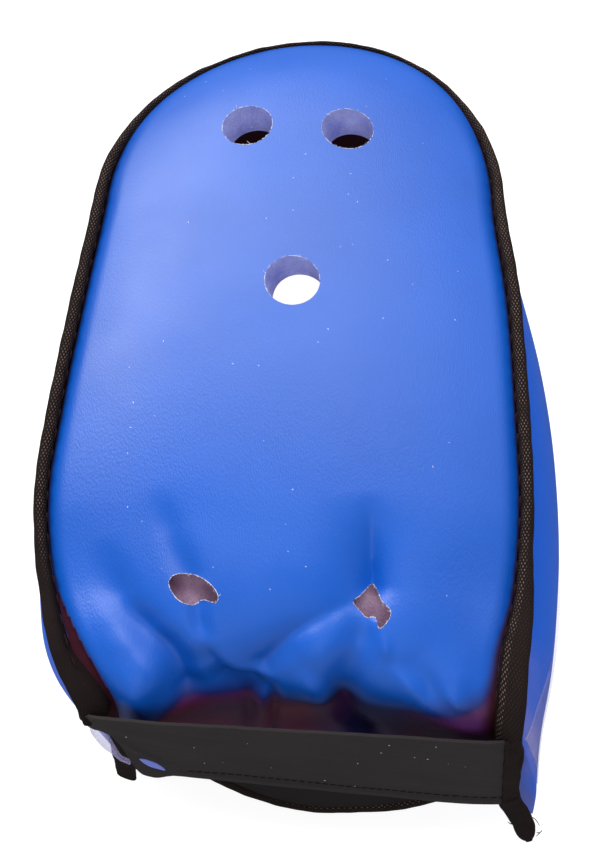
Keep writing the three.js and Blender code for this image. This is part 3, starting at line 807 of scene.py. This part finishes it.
def clear_sheet():
    """Clear plastic, hazier towards its rear ends, where the extra haze is a painted reflection of the
    floor.
    """
    nodes = material("clear_plastic")
    haze = nodes.noise(7, 3, nodes.stretched((1, 4, 1), (0.5, 0.4, 0.6)))
    nodes.link(nodes.mix(nodes.ramp(haze, 0.4, 0.65), (0.30, 0.27, 0.60), (0.48, 0.45, 0.72)), "Base Color")
    nodes.link(nodes.ramp(haze, 0.35, 0.7, 0.06, 0.16), "Roughness")
    # Painted reflection: the haze thickens towards the rear ends
    rear = nodes.ramp(nodes.axes()[1], -0.14, -0.06, 3, 1)
    nodes.link(nodes.math("MULTIPLY", nodes.ramp(haze, 0.35, 0.7, 0.05, 0.16), rear), "Alpha")
    nodes.set(IOR=1.46, Specular_IOR_Level=0.7)
    return nodes.owner


# The crown's vinyl also takes painted shade from its map
VINYL = vinyl("blue_vinyl", 0.7, lay=True)
# The walls' vinyl: a brighter base than the crown's, painted light against the walls' shade, and a painted
# reflection of the floor towards the rear
WALL_VINYL = vinyl("blue_vinyl_wall", 0.12, (0.001, 0.084, 0.54), (0.003, 0.098, 0.61), milky=0.5)
# A paler copy of the blue vinyl, painted sheen on the sliver in the band's tuck
MILKY_VINYL = vinyl("blue_vinyl_milky", 0.3, (0.12, 0.16, 0.55), (0.18, 0.21, 0.62))
# Painted shade: dark maroon on the pads' inner faces and on the crown's bare left edge
PAINTED_SHADE_LINING = plain_material("painted_shade_lining", 300, 3, (0.022, 0.004, 0.009), (0.04, 0.007, 0.015), 0.3,
                        Roughness=0.9, Specular_IOR_Level=0.1)
FOAM = foam()
TAPE = woven_tape()
ELASTIC = elastic("black_elastic", 1.0)
# A darker copy of the elastic: painted shade on the flap's facing that shows under the band
FACING = elastic("black_facing", 0.5)
CLEAR = clear_sheet()
LINT = plain_material("white_fibre", 400, 2, (0.72, 0.72, 0.78), (0.9, 0.9, 0.92), Roughness=0.8)
THREAD = plain_material("dark_thread", 900, 2, (0.010, 0.005, 0.006), (0.022, 0.011, 0.012),
                        Roughness=0.9, Specular_IOR_Level=0.1)


# Crown cover with its punched vents

def closed_curve(points, count):
    """A smooth closed line through a few points."""
    points = np.asarray(points, float)
    n = len(points)
    t = np.linspace(0, n, count, endpoint=False)
    i = np.floor(t).astype(int)
    f = (t - i)[:, None]
    a, b, c, d = (points[(i + k) % n] for k in (-1, 0, 1, 2))
    return b + 0.5 * f * (c - a + f * (2 * a - 5 * b + 4 * c - d + f * (3 * (b - c) + d - a)))


def vent_cutter(name, s, x, outline, lean, rake, below):
    """A sheared prism that punches one vent."""
    flat = closed_curve(outline, 72)
    rings = []
    for height in np.linspace(-below, VENT_ABOVE, 12):
        across = flat[:, 0] - math.tan(math.radians(lean)) * height
        along = flat[:, 1] + math.tan(math.radians(rake)) * height
        rings.append(stack(across, along, height))
    angle = math.radians(float(crown_slope(s)))
    turn = np.array(Matrix.Rotation(angle, 3, "X"))
    points, faces = tube(np.array(rings) @ turn.T + crown_point(s, x))
    cutter = new_piece(name + "_punch", points, [face[::-1] for face in faces], [VINYL, FOAM])
    cutter.data.polygons.foreach_set("material_index", np.ones(len(cutter.data.polygons), np.int32))
    return cutter


def cover_shade(s, x):
    """How far painted shade turns the cover maroon behind the band and deep red along its edges, from 0 to
    1.
    """
    start, amount = columns(SHADE, "x", "start amount")
    left, right = columns(EDGE_SHADE, "s", "left right")
    wide = np.where(x < 0, left(s), right(s))
    return amount(x) * smooth((start(x) - s) / SHADE_RUN), 1 - smooth(inside_edge(s, x) / wide)


def cover_tuck(side, s):
    tuck = COVER_TUCK[side]
    return tuck["wide"] * smooth((tuck["from"] - s) / tuck["run"])


def crown_cover():
    s = crown_stations()[:, None]
    v = np.linspace(-1, 1, 157)[None, :]
    x = v * (half_width(s, v) + np.where(v > 0, cover_tuck("right", s), cover_tuck("left", s)))
    s = np.broadcast_to(s, x.shape)
    cover = slab(cover_point(s, x), crown_point(s, x, crown_thickness(s, x)))
    low, edge = cover_shade(s, x)
    piece = new_piece("crown_cover", *cover, [VINYL, FOAM, PAINTED_SHADE_LINING], slab_uv(low, edge))
    # Inner face, and the left edge where its painted shade is past RED_EDGE: the dark painted-shade lining
    shade_inside(piece, s.shape, 2)
    corners = (edge[:-1, :-1] + edge[:-1, 1:] + edge[1:, 1:] + edge[1:, :-1]) / 4
    for face in np.flatnonzero((corners > RED_EDGE) & (x[1:, 1:] < 0)):
        piece.data.polygons[face].material_index = 2
    punch(piece, [vent_cutter(*vent) for vent in VENTS])
    piece.data.shade_smooth()
    piece.data.set_sharp_from_angle(angle=math.radians(38))
    return piece


def wall_cover(name, p_from, p_to, t_end, steps, rows):
    share = np.linspace(0, 1, steps)[:, None]
    down = np.linspace(0, 1, rows)[None, :]
    p = lerp(p_from, p_to, share)
    t = down * t_end(p)
    p = np.broadcast_to(p, t.shape)
    cover = slab(wall_point(p, t), wall_point(p, t, wall_thickness(down, share)))
    piece = new_piece(name, *cover, [WALL_VINYL, PAINTED_SHADE_LINING])
    # Inner face: painted shade
    shade_inside(piece, t.shape, 1)
    soften(piece, 0.0016, 3)
    return piece


def to_floor(p):
    return np.ones_like(p)


def to_brow(p):
    return FOREHEAD_DROP / wall_point(p, 0.0)[..., 2]


# Tapes

def tape_section(count):
    """Unit outline of a tape's section, out and up from -1 to 1, from its outer lower corner round."""
    a = math.pi * (0.75 + np.linspace(-1, 1, count, endpoint=False))
    c, d = np.cos(a), np.sin(a)
    r = (np.abs(c) ** 3.2 + np.abs(d) ** 3.2) ** (-1 / 3.2)
    return r * c, r * d


def waver(at, size, period):
    """A gentle unevenness along a tape."""
    return size * (np.sin(2 * math.pi * at / period) + 0.6 * np.sin(2 * math.pi * at / (period * 0.37) + 1.3)
                   + 0.4 * np.sin(2 * math.pi * at / (period * 0.171) + 0.4)) / 2


def tape_piece(name, point, out, up, thick, above, below, blunt=0.0, section=28):
    """A tape of rounded section along a line of places, its ends rounded over the length blunt."""
    a, b = tape_section(section)
    along = path_run(point)
    full = np.ones_like(along)
    if blunt:
        from_end = np.minimum(along, along[-1] - along)
        full = np.sqrt(1 - (1 - np.clip(from_end / blunt, 0.06, 1)) ** 2)
    thick = (thick + waver(along, 0.25, 61)) * lerp(0.6, 1, full)
    tall = ((above + below) / 2 + waver(along, 0.2, 43)) * full
    middle = (above - below) / 2 + waver(along, 0.35, 83)
    push = (a[None, :] + 1) * thick[:, None] / 2
    lift = middle[:, None] + b[None, :] * tall[:, None]
    rings = point[:, None, :] + push[..., None] * out[:, None, :] + lift[..., None] * up[:, None, :]
    girth = np.cumsum(np.hypot(np.diff(push, axis=1), np.diff(lift, axis=1)), axis=1)
    girth = np.concatenate([np.zeros((len(along), 1)), girth], axis=1)
    girth = girth - girth[:, section // 2, None]
    uv = stack(along[:, None], girth).reshape(-1, 2)
    return new_piece(name, *tube(rings), [TAPE], uv, 60)


def seam_tape():
    p = np.linspace(-TAPE_TUCK["right"], 2 + TAPE_TUCK["left"], 900)
    s, point, out = seam(p, 0.0)
    q = wall_station(p)
    spread = np.where(p < 1, TAPE_SPREAD["right"], TAPE_SPREAD["left"])
    front = smooth((q - TAPE_FRONT["from"]) / TAPE_FRONT["run"])
    thick = lerp(spread, TAPE_THICK, smooth((q - TAPE_SPREAD["from"]) / TAPE_SPREAD["run"]))
    thick = lerp(thick, TAPE_FRONT["thick"], front)
    above = lerp(TAPE_ABOVE, TAPE_FRONT["above"], front)
    bared = np.where(p < 1, 0, cover_tuck("left", s))
    shift = bared * smooth(q / TAPE_SPREAD["flare"])
    point = point + (TAPE_GAP + shift)[:, None] * out
    return tape_piece("seam_tape", point, out, crown_normal(s), thick + bared - shift, above, TAPE_BELOW)


def flap_tape():
    turn = np.radians(np.linspace(-FLAP_TAPE, FLAP_TAPE, 160))
    s = FLAP["start"] - FLAP["rise"] * np.cos(turn)
    wide = side_width(np.full_like(turn, FLAP["start"]), turn)
    angle = np.radians(crown_slope(s))
    down = stack(0, -np.cos(angle), -np.sin(angle))
    out = unit(stack(np.sin(turn) / wide, 0, 0) + (np.cos(turn) / FLAP["rise"])[:, None] * down)
    point = crown_point(s, wide * np.sin(turn)) + TAPE_GAP * out
    return tape_piece("flap_tape", point, out, crown_normal(s), TAPE_THICK, TAPE_ABOVE,
                      TAPE_BELOW + TAPE_ABOVE)


def flap_facing():
    share = np.radians(np.linspace(-FLAP_TAPE, FLAP_TAPE, 120))[:, None]
    inside = np.linspace(1, -FLAP_FACING["lap"], 24)[None, :]
    wide = side_width(np.full_like(share, FLAP["start"]), share)
    s = FLAP["start"] - FLAP["rise"] * np.cos(share) * (1 - FLAP_FACING["up"] * inside)
    x = wide * np.sin(share) * (1 - FLAP_FACING["across"] * inside)
    cloth = slab(crown_point(s, x, -FLAP_FACING["thick"]), crown_point(s, x, -0.2))
    return new_piece("flap_facing", *cloth, [FACING], slab_uv(np.degrees(share), inside * 20), 60)


def rear_line(side):
    """The line of a rear tape, the way it faces and the way across it."""
    point = smooth_path(REAR_TAPES[side], "x y z", 140)
    facing = np.broadcast_to(unit(np.array(REAR_FACING[side])), point.shape)
    return point, facing, unit(np.cross(facing, np.gradient(point, axis=0)))


def rear_tape(side):
    """A hanging tape; its end is rounded over the length given for its side."""
    return tape_piece("rear_tape_" + side, *rear_line(side), REAR_SIZE["thick"], REAR_SIZE["half"],
                      REAR_SIZE["half"], REAR_SIZE[side])


# Back band

def run_along(rows, count):
    """Columns of a table by distance along its plan, and the way out from that plan."""
    run = path_run(np.stack([rows["x"], rows["y"]], axis=-1))
    u = np.linspace(0, run[-1], count)
    line = {name: curve(run, values)(u) for name, values in rows.items()}
    along = unit(np.stack([np.gradient(line["x"]), np.gradient(line["y"])], axis=-1))
    return u, line, stack(along[:, 1], -along[:, 0])


def strip(name, rows, count, relief, lean, thick, material):
    """An upright strip of cloth or sheet; relief(u, x, z, low, high) stands out from its plan."""
    u, line, out = run_along(rows, count)
    x, y, low, high = (line[key][:, None] for key in ("x", "y", "low", "high"))
    z = lerp(high, low, np.linspace(0, 1, 48)[None, :])
    proud = relief(u[:, None], x, z, low, high)

    def face(depth):
        return stack(x + lean(x, z) + (proud - depth) * out[:, :1], y + (proud - depth) * out[:, 1:], z)

    piece = new_piece(name, *slab(face(0.0), face(thick)), [material], slab_uv(u[:, None], z), 60)
    soften(piece, 0.0005, 3)
    return piece


def ridge(x, z, start, end, reach):
    """Height from 0 to 1 of a ridge between two places (x, z) of the band."""
    along, away_x, away_z = to_segment(x, z, start, end)
    return np.exp(-(np.hypot(away_x, away_z) / reach) ** 2) * np.sin(math.pi * lerp(0.12, 0.88, along))


def band_relief(u, x, z, low, high):
    from_left, from_right = x - BAND_SINK["from"], BAND_SINK["to"] - x
    ends = smooth(from_left / BAND_SINK["run"]) * smooth(from_right / BAND_SINK["run"])
    sink = -BAND_SINK["deep"] * np.sin(math.pi * (z - low) / (high - low)) * ends
    folds = sum(height * ridge(x, z, start, end, reach) for _, start, end, reach, height in BAND_RIDGES)
    hem = smooth((low + BAND_HEM["tall"] - z) / BAND_HEM["step"])
    hem = BAND_HEM["proud"] * hem * smooth((x - BAND_HEM["from"]) / BAND_HEM["run"])
    return sink + folds + hem + waver(u + 3 * z, 0.12, 37)


def band_lean(x, z):
    down = (BAND["high"][-1] - z) / (BAND["high"][-1] - BAND["low"][-1])
    return BAND_LEAN["out"] * smooth((x - BAND_LEAN["from"]) / BAND_LEAN["run"]) * down


def back_band():
    return strip("band_strip", BAND, 240, band_relief, band_lean, BAND_THICK, ELASTIC)


def on_band(x, z, above=0.0):
    """Places on the band's outer face."""
    u, line, out = run_along(BAND, 400)
    x, z = np.asarray(x, float), np.asarray(z, float)
    low, high = np.interp(x, line["x"], line["low"]), np.interp(x, line["x"], line["high"])
    proud = band_relief(np.interp(x, line["x"], u), x, z, low, high) + above
    y = np.interp(x, line["x"], line["y"])
    out_x, out_y = (np.interp(x, line["x"], part) for part in out.T)
    return stack(x + band_lean(x, z) + proud * out_x, y + proud * out_y, z)


def band_patch():
    """The strip sewn over the band's right end."""
    x = np.linspace(BAND_PATCH["from"], BAND_PATCH["to"], 16)[:, None]
    z = np.linspace(BAND_PATCH["top"], BAND_PATCH["foot"], 60)[None, :]
    rag = waver(z, 0.25, 11)
    x = x + rag * np.where(x < BAND_PATCH["from"] + 1, 1, 0.3)
    patch = slab(on_band(x, z, BAND_PATCH["proud"]), on_band(x, z, -0.6))
    piece = new_piece("band_patch", *patch, [TAPE], slab_uv(z, x), 60)
    soften(piece, 0.0003, 2)
    return piece


def band_slit():
    """A sliver of the pad that shows in the band's tuck."""
    a = circle(48)
    (x0, z0), (x1, z1) = SLIT["from"], SLIT["to"]
    along = math.hypot(x1 - x0, z1 - z0) / 2 * np.cos(a)
    across = SLIT["tall"] / 2 * np.sin(a) * (1 - 0.35 * np.cos(a) ** 2)
    lean = math.atan2(z1 - z0, x1 - x0)
    x = along * math.cos(lean) - across * math.sin(lean)
    z = along * math.sin(lean) + across * math.cos(lean)
    rings = [on_band((x0 + x1) / 2 + share * x, (z0 + z1) / 2 + share * z, above)
             for share, above in SLIT_RINGS]
    points, faces = tube(np.array(rings))
    # The sliver's paler vinyl is painted sheen
    return new_piece("band_slit", points, [face[::-1] for face in faces], [MILKY_VINYL], None, 50)


# Face mask

mask_low, mask_high = columns(MASK, "q", "low high")


def mask_point(p, z, depth):
    top = wall_point(p, 0.0)[..., 2]
    sink = np.where(p < 1, MASK_SINK["right"], MASK_SINK["left"])
    sink = sink * (1 - smooth(wall_station(p) / MASK_SINK["run"]))
    return wall_point(p, 1 - z / top, sink - MASK_GAP - depth)


def mask_shell():
    end = MASK["q"][0]
    p = np.linspace(end, 2 - end, 220)[:, None]
    down = np.linspace(0, 1, 26)[None, :]
    q = wall_station(p)
    z = lerp(mask_high(q), mask_low(q), down)
    p = np.broadcast_to(p, z.shape)
    shell = slab(mask_point(p, z, MASK_THICK), mask_point(p, z, 0.0))
    piece = new_piece("mask_shell", *shell, [CLEAR], None, 60)
    a = circle(40)
    radius = BREATHER["diameter"] / 2
    y = mask_point(np.array(1.0), np.array(float(BREATHER["height"])), 0.0)[1]
    cutters = []
    for row in range(BREATHER["rows"]):
        count = BREATHER["count"] - row
        for k in range(count):
            x = foot_x(1) + (k - (count - 1) / 2) * BREATHER["spacing"] + radius * np.cos(a)
            z = BREATHER["height"] - row * BREATHER["spacing"] + radius * np.sin(a)
            hole = tube(np.array([stack(x, y + shift, z) for shift in (-30, 30)]))
            cutters.append(new_piece(f"breather_{row}_{k}", *hole, [CLEAR]))
    punch(piece, cutters)
    soften(piece, 0.0005, 2)
    return piece


def plain(*where):
    return np.zeros(np.broadcast_shapes(*(np.shape(part) for part in where)))


def arm_end():
    return strip("arm_end_left", ARM_END, 60, plain, plain, ARM_THICK, CLEAR)


# Threads, fibres and lint

def strands(name, paths, radius, material, sides=5):
    """Fine threads along paths (threads, points, xyz), joined in one mesh."""
    paths = np.asarray(paths, float)
    count, length = paths.shape[:2]
    along = unit(np.gradient(paths, axis=1))
    across = unit(np.cross(along, np.array([0.31, 0.57, 0.76])))
    up = np.cross(along, across)
    a = circle(sides)
    taper = np.sqrt(np.sin(math.pi * np.linspace(0.12, 0.88, length)))
    size = (np.broadcast_to(radius, count)[:, None] * taper)[:, :, None, None]
    spokes = np.cos(a)[:, None] * across[:, :, None, :] + np.sin(a)[:, None] * up[:, :, None, :]
    rings = paths[:, :, None, :] + size * spokes
    here = np.arange(count * length * sides).reshape(count, length, sides)
    beside = np.roll(here, -1, axis=2)
    quads = np.stack([beside[:, :-1], beside[:, 1:], here[:, 1:], here[:, :-1]], axis=-1).reshape(-1, 4)
    faces = quads.tolist() + here[:, 0, ::-1].tolist() + here[:, -1].tolist()
    return new_piece(name, rings.reshape(-1, 3), faces, [material], None, 80)


def vent_rims(piece):
    """Edges where the cover meets the cut foam: both ends, the cover's and the foam's normal."""
    mesh = bmesh.new()
    mesh.from_mesh(piece.data)
    rims = []
    for edge in mesh.edges:
        if len(edge.link_faces) == 2:
            cover, cut = sorted(edge.link_faces, key=lambda face: face.material_index)
            if (cover.material_index, cut.material_index) == (0, 1) and cover.normal.z > 0.3:
                rims.append([edge.verts[0].co, edge.verts[1].co, cover.normal, cut.normal])
    rims = np.array([[list(part) for part in rim] for rim in rims])
    mesh.free()
    rims[:, :2] = rims[:, :2] * 1000 + FOOT_CENTRE
    return rims


def rim_edge(rims):
    """The pale raw edge of the cover round the vents, broken here and there."""
    kept = rims[RNG.random(len(rims)) < 0.5]
    share = np.linspace(-0.1, 1.1, 4)[None, :, None]
    start, end, cover, cut = (kept[:, None, k] for k in range(4))
    paths = lerp(start, end, share) + 0.06 * cover + 0.05 * cut
    return strands("vent_rims", paths, RNG.uniform(0.04, 0.15, len(kept)), LINT)


def rim_fibres(rims, count):
    """Frayed ends of foam and backing that stand at the vents' rims."""
    kept = rims[RNG.integers(0, len(rims), count)]
    start = lerp(kept[:, 0], kept[:, 1], RNG.random((count, 1)))
    aim = unit(0.7 * kept[:, 2] + 0.5 * kept[:, 3] + 0.6 * RNG.normal(size=(count, 3)))
    curl = 0.5 * RNG.normal(size=(count, 3))
    reach = np.minimum(RNG.exponential(0.3, (count, 1)) + 0.15, 1.2)
    paths = [start + reach * (k * aim + k * k * curl) for k in np.linspace(0, 1, 5)]
    return strands("vent_fibres", np.stack(paths, axis=1), RNG.uniform(0.04, 0.08, count), LINT)


def specks(name, kind, spot, face):
    """Specks of lint that lie on a face; spot gives their places from draws of two numbers."""
    first, second = spot(*(RNG.uniform(*kind[draw], kind["count"]) for draw in ("first", "second")))
    turn, reach = RNG.uniform(0, 2 * math.pi, kind["count"]), RNG.uniform(*kind["long"], kind["count"])
    paths = [face(first + k * reach * np.cos(turn), second + k * reach * np.sin(turn), LINT_ABOVE)
             for k in np.linspace(0, 1, 4)]
    return strands(name, np.stack(paths, axis=1), RNG.uniform(*kind["thick"], kind["count"]), LINT)


def spot_on_cover(s, v):
    return s, v * half_width(s, v)


def spot_on_band(x, share):
    return x, lerp(np.interp(x, BAND["x"], BAND["low"]), np.interp(x, BAND["x"], BAND["high"]), share)


def even_stations(pitch):
    """Stations p along the seam tape, evenly apart."""
    p = np.linspace(0.02, 1.98, 2000)
    run = path_run(seam(p, 0.0)[1])
    return np.interp(np.arange(0, run[-1], pitch), run, p)


def seam_stitches():
    """Thread that ties the tape down to the pad, one stitch after another along its inner edge."""
    p = even_stations(STITCH["pitch"])
    p = p[np.minimum(p, 2 - p) < STITCH["to"]]
    paths = []
    for share in np.linspace(0, 1, 6):
        s, point, out = seam(p + share * STITCH["long"], 0.0)
        arch = math.sin(math.pi * share)
        beside = np.where(p < 1, 0, cover_tuck("left", s)) - 0.2 - 0.5 * arch
        paths.append(point + beside[:, None] * out + (0.2 + 1.3 * arch) * crown_normal(s))
    return strands("seam_stitches", np.stack(paths, axis=1), STITCH["thick"] / 2, THREAD, 6)


def hem_stitches():
    x = np.arange(HEM_STITCH["from"], HEM_STITCH["to"], HEM_STITCH["pitch"])
    z = np.interp(x, BAND["x"], BAND["low"]) + BAND_HEM["tall"] + BAND_HEM["step"]
    paths = [on_band(x + k * HEM_STITCH["long"], z, 0.1 + 0.14 * math.sin(math.pi * k))
             for k in np.linspace(0, 1, 5)]
    return strands("hem_stitches", np.stack(paths, axis=1), HEM_STITCH["thick"] / 2, THREAD)


def tail_threads(count):
    """Loose ends at the tip of the right rear tape."""
    point, facing, across = rear_line("right")
    paths = []
    for _ in range(count):
        k = RNG.integers(112, 139)
        edge = REAR_SIZE["half"] * RNG.choice([-1, 1])
        start = point[k] + edge * across[k] + 1.1 * facing[k]
        aim = unit(np.sign(edge) * across[k] + 0.5 * RNG.normal(size=3))
        curl = 0.4 * RNG.normal(size=3)
        reach = RNG.uniform(1.5, 4)
        paths.append([start + reach * (u * aim + u * u * curl) for u in np.linspace(-0.4, 1, 7)])
    paths = np.array(paths)
    paths[..., 2] = np.maximum(paths[..., 2], 0.4)
    return strands("tail_threads", paths, 0.2, THREAD)


# Making the pieces

crown = crown_cover()
place(crown, "blue_vinyl", "crown_pad")
for name, node, span, end, steps in (
    ("wall_cover_right", "side_pad_right", (0, TEMPLE_Q - TEMPLE_GAP), to_floor, 150),
    ("wall_cover_left", "side_pad_left", (2 - TEMPLE_Q + TEMPLE_GAP, 2), to_floor, 150),
    ("brow_cover", "forehead_pad", (TEMPLE_Q, 2 - TEMPLE_Q), to_brow, 70),
):
    wall = wall_cover(name, *span, end, steps, 60)
    place(wall, "blue_vinyl", node)
place(seam_tape(), "black_tape", "crown_binding")
place(flap_tape(), "black_tape", "flap_binding")
place(flap_facing(), "black_elastic")
place(rear_tape("right"), "black_tape", "rear_binding_right")
place(rear_tape("left"), "black_tape", "rear_binding_left")
place(back_band(), "black_elastic", "back_band")
place(band_patch(), "black_tape")
place(band_slit(), "blue_vinyl")
place(mask_shell(), "clear_plastic", "face_mask")
place(arm_end(), "clear_plastic")
rims = vent_rims(crown)
place(rim_edge(rims), "blue_vinyl")
place(rim_fibres(rims, FIBRES), "blue_vinyl")
place(specks("cover_lint", COVER_LINT, spot_on_cover, cover_point), "blue_vinyl")
place(specks("band_lint", BAND_LINT, spot_on_band, on_band), "black_elastic")
place(seam_stitches(), "black_tape")
place(hem_stitches(), "black_elastic")
place(tail_threads(LOOSE_ENDS), "black_tape")


# Floor, light and camera

def floor():
    reach = FLOOR["reach"]
    corners = [(-reach, -reach, 0), (reach, -reach, 0), (reach, reach, 0), (-reach, reach, 0)]
    mesh = bpy.data.meshes.new("floor")
    mesh.from_pydata(corners, [], [(0, 1, 2, 3)])
    mesh.materials.append(plain_material("pale_floor", 3, 2, (0.28, 0.28, 0.28), (0.3, 0.3, 0.3),
                                         Roughness=0.9, Emission_Color=(1, 1, 1, 1),
                                         Emission_Strength=FLOOR["glow"]))
    piece = show("floor", mesh)
    piece.location.z = -FLOOR["below"]
    piece.visible_glossy = False


def soft_light(name, where, size, watts):
    data = bpy.data.lights.new(name, "AREA")
    data.size = size
    data.energy = watts
    light = show(name, data)
    light.location = where
    light.visible_glossy = False
    aim = Vector(LAMP_AIM) - Vector(where)
    light.rotation_euler = aim.to_track_quat("-Z", "Y").to_euler()


def studio():
    world = bpy.data.worlds.new("studio")
    nodes = Nodes(world, "Background")
    nodes.set(Color=(1, 1, 1, 1))
    direction = nodes.add("ShaderNodeTexCoord")["Generated"]

    def along(way, *ends):
        share = nodes.add("ShaderNodeVectorMath", {"operation": "DOT_PRODUCT"}, i0=direction, i1=way)
        return nodes.ramp(share["Value"], *ends)

    bright = nodes.math("MULTIPLY", along(SKY_AHEAD, *SKY_EDGE), along((0, 0, 1), *SKY_LOW))
    bright = nodes.math("MULTIPLY", bright, along(SKY_TOWARDS, *SKY_SIDES))
    nodes.link(nodes.ramp(bright, 0, 1, SKY["least"], SKY["most"]), "Strength")
    bpy.context.scene.world = world
    for lamp in LAMPS:
        soft_light(*lamp)
    bpy.context.scene.view_settings.view_transform = "Standard"


def camera():
    data = bpy.data.cameras.new("camera")
    data.sensor_fit = "VERTICAL"
    data.sensor_height = SENSOR_HEIGHT
    data.lens = FOCAL_PIXELS / FRAME_HEIGHT * SENSOR_HEIGHT
    data.clip_start = 0.01
    view = show("camera", data)
    turn = Matrix.Rotation(math.radians(90 - CAMERA_DOWN), 4, "X")
    turn = turn @ Matrix.Rotation(math.radians(CAMERA_ROLL), 4, "Z")
    view.matrix_world = Matrix.Translation(Vector(metres(CAMERA_PLACE))) @ turn
    bpy.context.scene.camera = view


floor()
studio()
camera()
